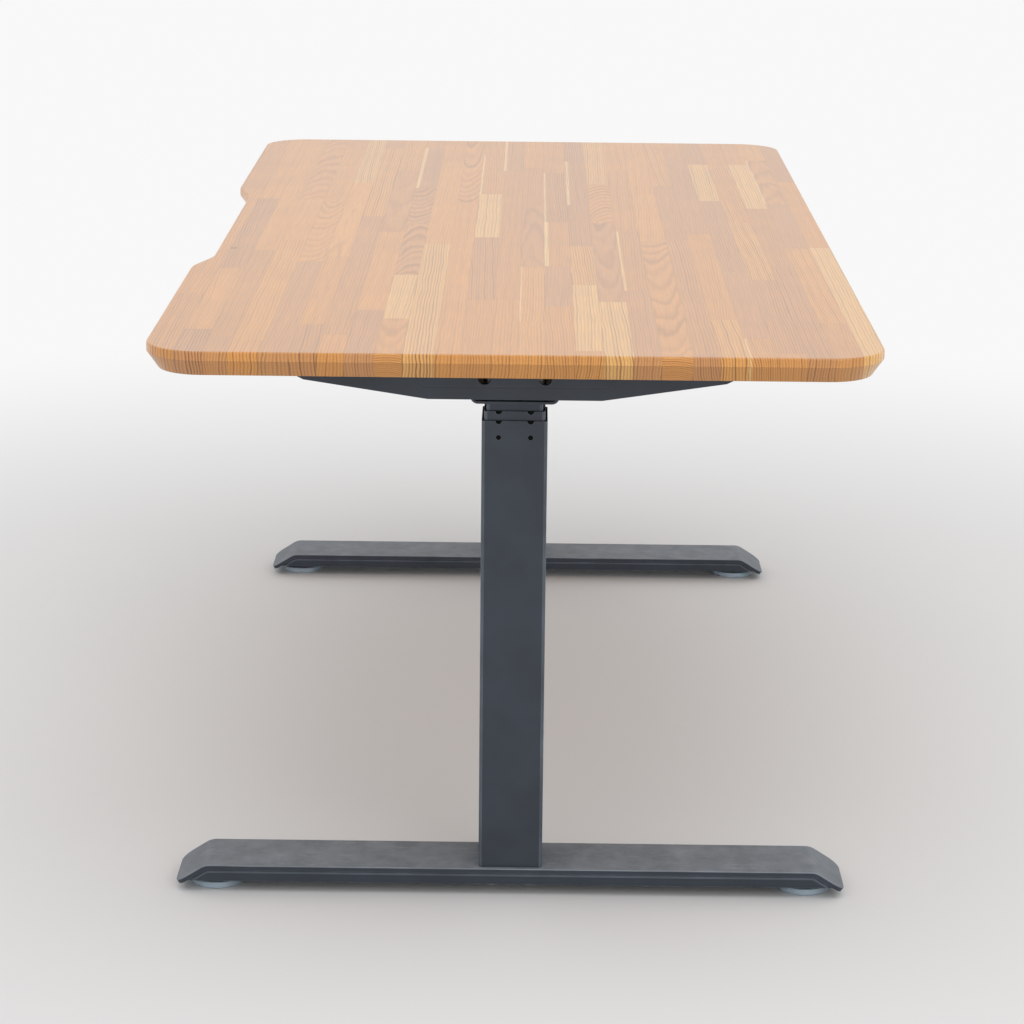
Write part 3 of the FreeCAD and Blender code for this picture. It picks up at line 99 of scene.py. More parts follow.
def add(tree: Tree, kind: str, inputs: Mapping[Any, Any] | None = None, **settings: Any) -> Any:
    """Adds a node, with its settings, and fills or links its inputs.

    Args:
        tree: The tree the node goes in.
        kind: The node's type name.
        inputs: What goes into each input socket, by its name or number: a value, a socket, a node
            whose first output is meant, or a list of these for a socket that takes several.
        **settings: The node's own properties.

    Returns:
        The new node.
    """
    node = tree.nodes.new(kind)
    for name, value in settings.items():
        setattr(node, name, value)
    for key, value in (inputs or {}).items():
        for part in value if isinstance(value, list) else [value]:
            source = part.outputs[0] if isinstance(part, bpy.types.Node) else part
            if isinstance(source, bpy.types.NodeSocket):
                tree.links.new(source, node.inputs[key])
            else:
                node.inputs[key].default_value = source
    return node


def calc(tree: Tree, operation: str, *values: Any, **settings: Any) -> Any:
    """Adds a Math node, whose inputs are given in their order."""
    return add(tree, "ShaderNodeMath", dict(enumerate(values)), operation=operation, **settings)


def span(
    tree: Tree, value: Any, start: float, end: float, low: float = 0.0, high: float = 1.0
) -> Any:
    """Adds a Map Range node, which takes start to end onto low to high."""
    ends = {"From Min": start, "From Max": end, "To Min": low, "To Max": high}
    return add(tree, "ShaderNodeMapRange", {"Value": value} | ends)


def vector(tree: Tree, operation: str, *values: Any) -> Any:
    """Adds a Vector Math node, whose inputs are given in their order."""
    return add(tree, "ShaderNodeVectorMath", dict(enumerate(values)), operation=operation)


def scaled(tree: Tree, value: Any, factor: Any) -> Any:
    """Adds a Vector Math node that scales a vector or colour."""
    return add(tree, "ShaderNodeVectorMath", {0: value, "Scale": factor}, operation="SCALE")


def length_of(tree: Tree, value: Any) -> Any:
    """Adds a Vector Math node and gives the length of a vector."""
    return vector(tree, "LENGTH", value).outputs["Value"]


def noise(
    tree: Tree, at: Any, scale: float, detail: float, roughness: float = 0.5, **settings: Any
) -> Any:
    """Adds a noise texture."""
    inputs = {"Vector": at, "Scale": scale, "Detail": detail, "Roughness": roughness}
    return add(tree, NOISE, inputs, **settings)


def bumped(tree: Tree, height: Any, strength: float, distance: float) -> Any:
    """Adds a Bump node, with its distance in mm."""
    inputs = {"Height": height, "Strength": strength, "Distance": distance * MM}
    return add(tree, "ShaderNodeBump", inputs)


def either_side(tree: Tree, chance: Any, width: float) -> Any:
    """Adds a Math node that spreads a random value evenly over a width round 0."""
    return calc(tree, "MULTIPLY_ADD", chance, width, -width / 2)


def in_mm(tree: Tree) -> Any:
    """Adds the nodes that give the place on the object in mm."""
    place = add(tree, "ShaderNodeTexCoord").outputs["Object"]
    return scaled(tree, place, 1 / MM)


def mixed(tree: Tree, share: Any, below: Any, above: Any) -> Any:
    """Adds a Mix node for two colours and gives its colour output."""
    return add(tree, MIX, {0: share, 6: below, 7: above}, data_type="RGBA").outputs[2]


def ramp(tree: Tree, value: Any, stops: Sequence[tuple[float, Any]]) -> Any:
    """Adds a colour ramp.

    Args:
        tree: The tree.
        value: What it turns into a colour.
        stops: Place along the ramp, and a linear colour or a grey value.

    Returns:
        The node.
    """
    node = add(tree, "ShaderNodeValToRGB", {"Fac": value})
    elements = node.color_ramp.elements
    while len(elements) < len(stops):
        elements.new(1.0)
    for element, (place, colour) in zip(elements, stops):
        element.position = place
        element.color = colour if isinstance(colour, tuple) else (colour, colour, colour, 1.0)
    return node


def blank_material(name: str) -> tuple[bpy.types.Material, Tree]:
    """Makes a material with an empty node tree.

    Args:
        name: The material's name: what it is and how it was made.

    Returns:
        The material and its tree.
    """
    material = bpy.data.materials.new(name)
    material.use_nodes = True
    material.node_tree.nodes.clear()
    return material, material.node_tree


def surface(tree: Tree, inputs: Mapping[Any, Any]) -> None:
    """Closes a material's tree with its shader, which has these inputs, and its output."""
    shader = add(tree, "ShaderNodeBsdfPrincipled", inputs)
    add(tree, "ShaderNodeOutputMaterial", {"Surface": shader})


# -------------------------------------------------------------------- finishes


@dataclass(frozen=True)
class ButcherBlock:
    """Edge-glued solid hardwood staves, sanded and satin varnished.

    Narrow staves of one species differ a little in tone, most are sawn so that fine straight grain
    runs along the top and turns into upright ring lines at the ends, and the varnish mirrors the
    room at a low angle.
    """

    stave_width: float = 29.3
    stave_wander: float = 7.0
    wander_rate: float = 0.019
    short_stave: float = 330.0
    stave_spread: float = 300.0
    stave_unevenness: float = 0.8
    unevenness_rate: float = 0.83
    ring_spacing: float = 2.3
    ring_spread: float = 1.7
    pith_near: float = 120.0
    pith_spread: float = 150.0
    pith_rise: float = 24.0
    lean: float = 0.14
    skew: float = 0.036
    swing: float = 6.5
    flat_sawn: float = 0.12
    flat_depth: float = 0.25
    flat_offset: float = 16.0
    flat_swing: float = 4.5
    thickness_middle: float = 619.0
    knot: tuple[float, float, float] = (-169.0, 343.0, 619.0)
    knot_reach: float = 17.0
    knot_squeeze: tuple[float, float, float] = (0.5, 1.0, 0.3)
    knot_bend: float = 9.0
    grain_rate: tuple[float, float, float] = (0.008, 0.036, 0.03)
    fibre_rate: tuple[float, float, float] = (0.016, 0.9, 0.9)
    coat: float = 0.48
    coat_roughness: float = 0.2
    tones: tuple[tuple[float, str], ...] = (
        (0.0, "cb8e54"),
        (0.3, "d0904c"),
        (0.6, "da9546"),
        (0.86, "de9a48"),
        (0.92, "e5a95a"),
        (1.0, "e9b266"),
    )
    pale_from: float = 0.86
    sapwood: str = "ecbd78"
    late_wood: str = "74421a"
    knot_wood: str = "6a4022"

    def material(self) -> bpy.types.Material:
        """Builds the wood.

        Returns:
            The material.
        """
        material, tree = blank_material("hardwood_staves_edge_glued_satin_varnished")
        mm = in_mm(tree)
        x, y, z = add(tree, "ShaderNodeSeparateXYZ", {0: mm}).outputs
        rows = self.rows(tree, y)
        staves = self.staves(tree, x, rows)
        rings = self.rings(tree, mm, z, rows, staves)
        return self.varnish(material, tree, mm, rows, staves, rings)

    def rows(self, tree: Tree, y: Any) -> dict[str, Any]:
        """Splits the width into rows of staves of slightly different widths.

        Args:
            tree: The material's tree.
            y: Place across the worktop in mm.

        Returns:
            The row's number, the place across it in mm, and two random values.
        """
        slow = calc(tree, "MULTIPLY", y, self.wander_rate)
        wander = add(tree, NOISE, {"W": slow, "Scale": 1.0, "Detail": 0.0}, noise_dimensions="1D")
        moved = calc(tree, "MULTIPLY_ADD", wander, self.stave_wander, y)
        across = calc(tree, "DIVIDE", moved, self.stave_width)
        number = calc(tree, "FLOOR", across)
        share = calc(tree, "FRACT", across)
        centred = calc(tree, "SUBTRACT", share, 0.5)
        local = calc(tree, "MULTIPLY", centred, self.stave_width)
        chance = add(tree, "ShaderNodeTexWhiteNoise", {"W": number}, noise_dimensions="1D")
        first, second, _ = add(tree, "ShaderNodeSeparateColor", {0: chance.outputs["Color"]}).outputs
        return {"number": number, "local": local, "share": share, "first": first, "second": second}

    def staves(self, tree: Tree, x: Any, rows: dict[str, Any]) -> dict[str, Any]:
        """Splits each row into staves of different lengths.

        Args:
            tree: The material's tree.
            x: Place along the worktop in mm.
            rows: What rows() gave.

        Returns:
            Random values of the stave, and the places along it.
        """
        length = calc(tree, "MULTIPLY_ADD", rows["first"], self.stave_spread, self.short_stave)
        along = calc(tree, "DIVIDE", x, length)
        start = calc(tree, "MULTIPLY_ADD", rows["second"], 11.0, along)
        uneven_at = add(tree, "ShaderNodeCombineXYZ", {0: start, 1: rows["number"]})
        uneven = noise(tree, uneven_at, self.unevenness_rate, 0.0, noise_dimensions="2D")
        placed = calc(tree, "MULTIPLY_ADD", uneven, self.stave_unevenness, start)
        piece = calc(tree, "FLOOR", placed)
        share = calc(tree, "FRACT", placed)
        centred = calc(tree, "SUBTRACT", share, 0.5)
        local = calc(tree, "MULTIPLY", centred, length)
        found: dict[str, Any] = {"local": local, "share": share, "length": length}
        for number, names in enumerate((("angle", "distance", "tilt"), ("spacing", "contrast", "sap"))):
            key = add(tree, "ShaderNodeCombineXYZ", {0: rows["number"], 1: piece, 2: 5.0 * number})
            chance = add(tree, "ShaderNodeTexWhiteNoise", {"Vector": key}, noise_dimensions="3D")
            parts = add(tree, "ShaderNodeSeparateColor", {0: chance.outputs["Color"]}).outputs
            found.update(zip(names, parts))
            found[f"tone_{number}"] = chance.outputs["Value"]
            found["key"] = key
        return found

    def rings(
        self, tree: Tree, mm: Any, z: Any, rows: dict[str, Any], staves: dict[str, Any]
    ) -> dict[str, Any]:
        """Growth rings round a pith outside each stave, so that its faces and ends agree.

        The pith of most staves lies far to one side, which makes upright ring lines; that of the
        flat-sawn ones lies below, which makes arched grain on the top.

        Args:
            tree: The material's tree.
            mm: Place in mm.
            z: Height in mm.
            rows: What rows() gave.
            staves: What staves() gave.

        Returns:
            How dark the growth ring is and how near the knot is, from 0 to 1.
        """
        flat = calc(tree, "LESS_THAN", staves["spacing"], self.flat_sawn)
        away = calc(tree, "MULTIPLY_ADD", staves["distance"], self.pith_spread, self.pith_near)
        turn = calc(tree, "SUBTRACT", staves["angle"], 0.5)
        side = calc(tree, "SIGN", turn)
        beside = calc(tree, "MULTIPLY", side, away)
        level = either_side(tree, staves["tilt"], self.pith_rise)
        under = calc(tree, "MULTIPLY", away, -self.flat_depth)
        offset = either_side(tree, staves["tilt"], self.flat_offset)
        pith_y = add(tree, MIX, {0: flat, 2: beside, 3: offset}, data_type="FLOAT")
        pith_z = add(tree, MIX, {0: flat, 2: level, 3: under}, data_type="FLOAT")
        lean = either_side(tree, staves["tilt"], self.lean)
        skew = either_side(tree, staves["contrast"], self.skew)
        height = calc(tree, "SUBTRACT", z, self.thickness_middle)
        low = calc(tree, "MULTIPLY_ADD", staves["local"], lean, pith_z)
        sideways = calc(tree, "MULTIPLY_ADD", staves["local"], skew, pith_y)
        from_y = calc(tree, "SUBTRACT", rows["local"], sideways)
        from_z = calc(tree, "SUBTRACT", height, low)
        arm = add(tree, "ShaderNodeCombineXYZ", {1: from_y, 2: from_z})
        radius = length_of(tree, arm)
        # grain wanders over some 120 mm of length, more in the flat-sawn staves
        stretched = vector(tree, "MULTIPLY", mm, self.grain_rate)
        own = scaled(tree, staves["key"], 3.7)
        wave_at = vector(tree, "ADD", stretched, own)
        wave = noise(tree, wave_at, 1.0, 2.0, 0.5)
        swing = calc(tree, "MULTIPLY_ADD", flat, self.flat_swing - self.swing, self.swing)
        wavy = calc(tree, "MULTIPLY_ADD", wave, swing, radius)
        # one small knot, which the grain flows round
        from_knot = vector(tree, "SUBTRACT", mm, self.knot)
        squeezed = vector(tree, "MULTIPLY", from_knot, self.knot_squeeze)
        distance = length_of(tree, squeezed)
        knot = span(tree, distance, 0.0, self.knot_reach, 1.0, 0.0)
        bent = calc(tree, "MULTIPLY_ADD", knot, self.knot_bend, wavy)
        spacing = calc(tree, "MULTIPLY_ADD", staves["tone_1"], self.ring_spread, self.ring_spacing)
        turns = calc(tree, "DIVIDE", bent, spacing)
        share = calc(tree, "FRACT", turns)
        shade = ramp(tree, share, [(0.0, 0.3), (0.12, 0.0), (0.42, 0.16), (0.8, 1.0), (1.0, 0.3)])
        # good and lean years: no two rings are equally dark
        year = calc(tree, "FLOOR", turns)
        yearly = add(tree, "ShaderNodeTexWhiteNoise", {"W": year}, noise_dimensions="1D")
        strength = calc(tree, "MULTIPLY_ADD", yearly.outputs["Value"], 0.65, 0.35)
        dark = calc(tree, "MULTIPLY", shade, strength)
        return {"dark": dark, "knot": knot}

    def varnish(
        self,
        material: bpy.types.Material,
        tree: Tree,
        mm: Any,
        rows: dict[str, Any],
        staves: dict[str, Any],
        rings: dict[str, Any],
    ) -> bpy.types.Material:
        """Colours the staves and varnishes them.

        Args:
            material: The material.
            tree: Its tree.
            mm: Place in mm.
            rows: What rows() gave.
            staves: What staves() gave.
            rings: What rings() gave.

        Returns:
            The material.
        """
        tone = ramp(tree, staves["tone_0"], [(place, linear(colour)) for place, colour in self.tones])
        # a pale sapwood strip along one side of some staves
        sap_at = calc(tree, "SUBTRACT", rows["share"], staves["sap"])
        sap_share = span(tree, sap_at, 0.8, 0.86)
        sapwood = mixed(tree, sap_share, tone, linear(self.sapwood))
        # dark late wood in each ring, stronger in pale staves and at the sawn ends
        facing = add(tree, "ShaderNodeNewGeometry").outputs["True Normal"]
        along, _, upward = add(tree, "ShaderNodeSeparateXYZ", {0: facing}).outputs
        end = calc(tree, "ABSOLUTE", along)
        pale = calc(tree, "GREATER_THAN", staves["tone_0"], self.pale_from)
        marked = calc(tree, "MULTIPLY_ADD", staves["contrast"], 0.32, 0.28)
        stronger = calc(tree, "MULTIPLY_ADD", pale, 0.2, marked)
        deeper = calc(tree, "MULTIPLY_ADD", end, 0.44, stronger, use_clamp=True)
        late = calc(tree, "MULTIPLY", rings["dark"], deeper)
        ringed = mixed(tree, late, sapwood, linear(self.late_wood))
        knot_eye = span(tree, rings["knot"], 0.62, 0.85)
        knotted = mixed(tree, knot_eye, ringed, linear(self.knot_wood))
        # fibres and pores: 0.9 mm streaks, drawn a little coarser than real ones so that they show
        drawn = vector(tree, "MULTIPLY", mm, self.fibre_rate)
        fibre = noise(tree, drawn, 1.0, 3.0, 0.6)
        fibre_tone = span(tree, fibre, 0.3, 0.7, 0.84, 1.14)
        cloud = noise(tree, mm, 0.011, 1.0)
        cloud_tone = calc(tree, "MULTIPLY_ADD", cloud, 0.16, 0.92)
        shade = calc(tree, "MULTIPLY", fibre_tone, cloud_tone)
        # glue lines between rows and butt joints between staves, about 0.5 mm wide
        edge = calc(tree, "COMPARE", rows["share"], 0.5, 0.48)
        joint_mm = calc(tree, "MULTIPLY", staves["share"], staves["length"])
        joint = calc(tree, "GREATER_THAN", joint_mm, 0.8)
        sound = calc(tree, "MULTIPLY", edge, joint)
        seam = calc(tree, "MULTIPLY_ADD", sound, 0.1, 0.9)
        jointed = calc(tree, "MULTIPLY", shade, seam)
        # painted shade by facing: the top a little darker than the sides, and the faces turned
        # downwards darker still
        turned = calc(tree, "MULTIPLY_ADD", upward, 0.5, 0.5)
        facing_shade = ramp(tree, turned, [(0.05, 0.74), (0.45, 1.0), (0.6, 1.0), (0.95, 0.92)])
        shaded = calc(tree, "MULTIPLY", jointed, facing_shade)
        colour = scaled(tree, knotted, shaded)
        relief = calc(tree, "MULTIPLY_ADD", fibre, 0.6, rings["dark"])
        bump = bumped(tree, relief, 0.2, 0.1)
        sheen = calc(tree, "MULTIPLY_ADD", fibre, 0.12, 0.28)
        varnished = {"Base Color": colour, "Roughness": sheen, "Normal": bump}
        surface(tree, varnished | {"Coat Weight": self.coat, "Coat Roughness": self.coat_roughness})
        return material


@dataclass(frozen=True)
class PowderCoat:
    """Steel with a matte powder coat: an even slate blue-grey with a fine orange-peel skin.

    Its edges carry a painted highlight, painted shade darkens the crevices, and level surfaces
    near the floor carry a thin veil of dust and a few scuffs.
    """

    name: str = "steel_powder_coated_matte_slate"
    colour: str = "2a323d"
    # the edge colour is a painted highlight on the narrow strips round edges
    edge_colour: str = "6d7783"
    dust_colour: str = "a6adb5"
    dust: float = 0.0
    grit: float = 0.7
    # crevice: how far the painted crevice shade reaches, in mm
    crevice: float = 3.5

    def material(self) -> bpy.types.Material:
        """Builds the coat.

        Returns:
            The material.
        """
        material, tree = blank_material(self.name)
        mm = in_mm(tree)
        peel = noise(tree, mm, 1 / self.grit, 2.0)
        cloud = noise(tree, mm, 0.02, 3.0)
        dark, pale = linear(self.colour, 0.88), linear(self.colour, 1.12)
        tone = ramp(tree, cloud, [(0.35, dark), (0.65, pale)])
        veil = self.settled(tree, mm)
        dusty = mixed(tree, veil, tone, linear(self.dust_colour))
        # painted highlight on the edges, uneven along their length
        arris = add(tree, "ShaderNodeAttribute", attribute_name="arris").outputs["Fac"]
        uneven = calc(tree, "MULTIPLY", cloud, 0.7)
        edge_highlight = calc(tree, "MULTIPLY", arris, uneven, use_clamp=True)
        edge_highlighted = mixed(tree, edge_highlight, dusty, linear(self.edge_colour))
        # painted shade in folds and steps up to a few millimetres wide, darkened by ambient occlusion
        near = {"Distance": self.crevice * MM}
        open_share = add(tree, "ShaderNodeAmbientOcclusion", near, samples=6, only_local=True)
        crevice_shade = span(tree, open_share.outputs["AO"], 0.5, 0.96, 0.12)
        colour = scaled(tree, edge_highlighted, crevice_shade)
        rough = calc(tree, "MULTIPLY_ADD", peel, 0.12, 0.4)
        duller = calc(tree, "MULTIPLY_ADD", veil, 0.3, rough)
        bump = bumped(tree, peel, 0.3, 0.05)
        surface(tree, {"Base Color": colour, "Roughness": duller, "Normal": bump})
        return material

    def settled(self, tree: Tree, mm: Any) -> Any:
        """Dust and scuffs on level surfaces.

        Args:
            tree: The material's tree.
            mm: Place in mm.

        Returns:
            How much of the coat they hide, from 0 to 1.
        """
        facing = add(tree, "ShaderNodeNewGeometry").outputs["Normal"]
        up = add(tree, "ShaderNodeSeparateXYZ", {0: facing}).outputs[2]
        level = span(tree, up, 0.35, 0.95)
        patches = noise(tree, mm, 0.028, 6.0, 0.7)
        lying = span(tree, patches, 0.36, 0.72, 0.5 * self.dust, self.dust)
        # scuffs: long thin marks along the foot, 1 mm wide
        dragged = vector(tree, "MULTIPLY", mm, (0.35, 0.03, 0.35))
        marks = noise(tree, dragged, 1.0, 4.0, 0.65)
        scuffed = span(tree, marks, 0.6, 0.78, 0.0, 0.7 * self.dust)
        both = calc(tree, "ADD", lying, scuffed)
        return calc(tree, "MULTIPLY", both, level, use_clamp=True)


class Metal(Enum):
    """The bare metals: name, sRGB colour, roughness, and how the tool left the surface."""

    ZINC = ("steel_zinc_plated_bright", "b9bcc0", 0.3, (0.5, 0.5, 0.5))
    SCREW = ("steel_rolled_thread_oiled", "8f9092", 0.26, (0.05, 0.05, 1.2))
    BRONZE = ("bronze_turned", "b08a4e", 0.34, (0.05, 0.05, 1.5))
    BRASS = ("brass_stamped_nickel_plated", "b5b3a8", 0.3, (0.6, 0.6, 0.6))
    CAST = ("aluminium_die_cast_blasted", "a6a9ac", 0.5, (0.9, 0.9, 0.9))


@dataclass(frozen=True)
class BareMetal:
    """Uncoated metal: turned grooves, plating or a blasted cast skin break up its reflections."""

    metal: Metal

    def material(self) -> bpy.types.Material:
        """Builds the metal.

        Returns:
            The material.
        """
        name, colour, roughness, grooves = self.metal.value
        material, tree = blank_material(name)
        mm = in_mm(tree)
        tooled = vector(tree, "MULTIPLY", mm, grooves)
        marks = noise(tree, tooled, 1.0, 3.0)
        patina = noise(tree, mm, 0.06, 3.0)
        tone = ramp(tree, patina, [(0.3, linear(colour, 0.8)), (0.7, linear(colour))])
        rough = calc(tree, "MULTIPLY_ADD", marks, 0.2, roughness - 0.1)
        bump = bumped(tree, marks, 0.25, 0.04)
        surface(tree, {"Base Color": tone, "Metallic": 1.0, "Roughness": rough, "Normal": bump})
        return material


@dataclass(frozen=True)
class MouldedPlastic:
    """Injection-moulded plastic: a fine spark-eroded grain and a soft satin."""

    name: str
    colour: str
    roughness: float = 0.5
    grain: float = 0.6
    glow: float = 0.0
    gloss: float = 0.5

    def material(self) -> bpy.types.Material:
        """Builds the plastic.

        Returns:
            The material.
        """
        material, tree = blank_material(self.name)
        mm = in_mm(tree)
        grain = noise(tree, mm, 1 / self.grain, 2.0)
        cloud = noise(tree, mm, 0.04, 2.0)
        tone = ramp(tree, cloud, [(0.3, linear(self.colour, 0.9)), (0.7, linear(self.colour))])
        rough = calc(tree, "MULTIPLY_ADD", grain, 0.12, self.roughness - 0.06)
        bump = bumped(tree, grain, 0.3, 0.04)
        inputs = {"Base Color": tone, "Roughness": rough, "Normal": bump}
        inputs["Specular IOR Level"] = self.gloss
        if self.glow:
            inputs |= {"Subsurface Weight": self.glow, "Subsurface Scale": 6 * MM}
        surface(tree, inputs)
        return material


@dataclass
class FinishShelf:
    """Every finish of the desk, made once and named by the record's material slots."""

    made: dict[str, bpy.types.Material] = field(default_factory=dict)

    def stock(self) -> None:
        """Makes the materials."""
        finishes = {
            "wood": ButcherBlock(),
            "powder_coat": PowderCoat(),
            # the dusty foot coat has a brighter painted highlight on its edges
            "foot_coat": PowderCoat("steel_powder_coated_matte_dusty", edge_colour="a8b0ba", dust=0.54),
            "zinc_steel": BareMetal(Metal.ZINC),
            "screw_steel": BareMetal(Metal.SCREW),
            "bronze": BareMetal(Metal.BRONZE),
            "pin_brass": BareMetal(Metal.BRASS),
            "cast_aluminium": BareMetal(Metal.CAST),
            "motor_can": PowderCoat(name="steel_drawn_can_black_enamel", colour="1a1c1f"),
            "glide_plastic": MouldedPlastic("polyethylene_moulded_milky", "a3b4c1", 0.4, 0.8, 0.25),
            # the guides' near-black, darker than the acetal's own black, is partly painted shade for the
            # holes in the rims where they show
            "guide_plastic": MouldedPlastic("acetal_moulded_black", "060607", 0.8, gloss=0.12),
            "box_plastic": MouldedPlastic("abs_moulded_black", "17181b", 0.5),
            "keypad_plastic": MouldedPlastic("abs_moulded_charcoal", "202226", 0.42),
            "key_mark": MouldedPlastic("abs_moulded_pale_grey", "c9ccd0", 0.5),
            "window": MouldedPlastic("acrylic_moulded_smoked", "07080a", 0.12, 2.0),
        }
        self.made = {slot: finish.material() for slot, finish in finishes.items()}

    def __getitem__(self, slot: str) -> bpy.types.Material:
        """The material of one slot."""
        return self.made[slot]


SHELF = FinishShelf()


# ---------------------------------------------------------------- mesh making


def new_piece(name: str, points: Sequence[Any], faces: Sequence[Sequence[int]]) -> Piece:
    """Makes an object at the origin from points and faces in the row frame.

    Args:
        name: The piece's name.
        points: Vertices in metres.
        faces: Vertex numbers of each face, anticlockwise from outside.

    Returns:
        The object.
    """
    mesh = bpy.data.meshes.new(name)
    mesh.from_pydata([tuple(p) for p in points], [], [tuple(f) for f in faces])
    mesh.validate()
    piece = bpy.data.objects.new(name, mesh)
    bpy.context.scene.collection.objects.link(piece)
    return piece


def smooth(piece: Piece, degrees: float = 32.0) -> None:
    """Shades a piece smooth, but for the edges sharper than an angle."""
    piece.data.shade_smooth()
    piece.data.set_sharp_from_angle(angle=math.radians(degrees))


def baked(piece: Piece) -> Piece:
    """Turns a piece's live modifiers into plain mesh.

    Args:
        piece: An object with modifiers.

    Returns:
        The same object, without modifiers.
    """
    graph = bpy.context.evaluated_depsgraph_get()
    mesh = bpy.data.meshes.new_from_object(piece.evaluated_get(graph), depsgraph=graph)
    piece.modifiers.clear()
    old = piece.data
    piece.data = mesh
    mesh.name = piece.name
    bpy.data.meshes.remove(old)
    return piece


def body_of(node: str) -> str:
    """The name of the CAD body that a node belongs to."""
    return frame["nodes"][node]["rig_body"]


def middle(node: str) -> Vector:
    """The middle of a CAD node's box."""
    low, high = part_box(node)
    return (low + high) / 2


def hand_over(piece: Piece, body: str, stands_for: Sequence[str] = ()) -> None:
    """Puts a finished piece on its body.

    Args:
        piece: The piece.
        body: The CAD body it moves with.
        stands_for: The CAD nodes that it replaces.
    """
    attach(piece, body)
    if stands_for:
        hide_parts(*stands_for)
    LOG.info("%s on %s, %d faces", piece.name, body, len(piece.data.polygons))


def mark_arrises(piece: Piece, widest: float = 0.75) -> None:
    """Notes which faces are narrow strips round an edge, for the coat's painted highlight there.

    Args:
        piece: The piece.
        widest: The widest strip in mm.
    """
    mesh = piece.data
    strips = mesh.attributes.new("arris", "FLOAT", "FACE")
    for face in mesh.polygons:
        corners = [mesh.vertices[i].co for i in face.vertices]
        longest = max((a - b).length for a, b in zip(corners, corners[1:] + corners[:1]))
        strips.data[face.index].value = float(face.area < widest * MM * longest)


@dataclass
class Shell:
    """A CAD part redrawn with the small rounded edges that pressing, coating or moulding leaves.

    Points closer than joined_within (mm) become one, faces that differ by less than flat_within
    (degrees) become one, and edges sharper than sharp_from (degrees) are rounded.
    """

    node: str
    slot: str
    finish: str = ""
    edge: float = 0.5
    steps: int = 2
    joined_within: float = 0.003
    flat_within: float = 0.3
    sharp_from: float = 38.0
    broad_face_weight: int = 80

    def build(self) -> Piece:
        """Copies the part's mesh, joins its faces, and rounds its sharp edges.

        Returns:
            The new piece, which stands for the part.
        """
        source = frame["nodes"][self.node]
        work = bmesh.new()
        work.from_mesh(source.data)
        bmesh.ops.remove_doubles(work, verts=work.verts, dist=self.joined_within * MM)
        flat = math.radians(self.flat_within)
        bmesh.ops.dissolve_limit(work, angle_limit=flat, verts=work.verts, edges=work.edges)
        points = [vertex.co.copy() for vertex in work.verts]
        faces = [[corner.vert.index for corner in face.loops] for face in work.faces]
        work.free()
        piece = new_piece(f"{self.node}_finished", points, faces)
        rounding = piece.modifiers.new("edge", "BEVEL")
        rounding.width = self.edge * MM
        rounding.segments = self.steps
        rounding.limit_method = "ANGLE"
        rounding.angle_limit = math.radians(self.sharp_from)
        rounding.use_clamp_overlap = False
        piece = baked(piece)
        smooth(piece)
        # the broad faces stay flat in the light, and the rounded edges blend into them
        level = piece.modifiers.new("level", "WEIGHTED_NORMAL")
        level.keep_sharp = True
        level.weight = self.broad_face_weight
        piece = baked(piece)
        mark_arrises(piece)
        piece.data.materials.clear()
        piece.data.materials.append(SHELF[self.finish or self.slot])
        hand_over(piece, body_of(self.node), [self.node])
        return piece


def dress(node: str, finish: str) -> None:
    """Gives a CAD part, shown as it is, its finish."""
    mesh = frame["nodes"][node].data
    mesh.materials.clear()
    mesh.materials.append(SHELF[finish])
    LOG.info("%s dressed", node)


@dataclass
class Workpiece:
    """Turned and prismatic shapes gathered into one piece; their sizes are in mm."""

    name: str
    finishes: tuple[str, ...]
    points: list[Vector] = field(default_factory=list)
    faces: list[tuple[int, ...]] = field(default_factory=list)
    kinds: list[int] = field(default_factory=list)

    def turned(
        self, profile: Sequence[tuple[float, float]], place: Matrix, sides: int = 48, finish: int = 0
    ) -> None:
        """Adds a shape turned about its own Z axis.

        Args:
            profile: Radius and height in mm, from the lowest point of the axis round the outside to
                the highest; a radius of 0 is a pole.
            place: Where its origin and axis go, in metres.
            sides: Flats round it.
            finish: Which of the piece's finishes it has.
        """
        loops = []
        for radius, height in profile:
            count = sides if radius else 1
            turns = [math.tau * i / sides for i in range(count)]
            ring = [Vector((radius * math.cos(t), radius * math.sin(t), height)) * MM for t in turns]
            loops.append([len(self.points) + i for i in range(count)] * (sides // count))
            self.points += [place @ point for point in ring]
        for lower, upper in zip(loops, loops[1:]):
            for i in range(sides):
                j = (i + 1) % sides
                corners = (lower[i], lower[j], upper[j], upper[i])
                self.faces.append(tuple(dict.fromkeys(corners)))
                self.kinds.append(finish)

    def prism(self, outline: Sequence[tuple[float, float]], height: float, place: Matrix) -> None:
        """Adds an upright prism in the piece's first finish.

        Args:
            outline: Corners in mm, anticlockwise from above.
            height: Its height in mm.
            place: Where its origin and axis go, in metres.
        """
        first = len(self.points)
        count = len(outline)
        for level in (0.0, height):
            self.points += [place @ (Vector((x, y, level)) * MM) for x, y in outline]
        self.faces.append(tuple(first + i for i in reversed(range(count))))
        self.faces.append(tuple(first + count + i for i in range(count)))
        for i in range(count):
            j = (i + 1) % count
            self.faces.append((first + i, first + j, first + count + j, first + count + i))
        self.kinds += [0] * (count + 2)

    def made(self) -> Piece:
        """Makes the piece.

        Returns:
            The object, with its finishes on it.
        """
        piece = new_piece(self.name, self.points, self.faces)
        for finish in self.finishes:
            piece.data.materials.append(SHELF[finish])
        piece.data.polygons.foreach_set("material_index", self.kinds)
        smooth(piece)
        return piece


# ------------------------------------------------------------- geometry nodes


SOCKETS = {
    int: "NodeSocketInt",
    float: "NodeSocketFloat",
    Vector: "NodeSocketVector",
    bpy.types.Material: "NodeSocketMaterial",
}


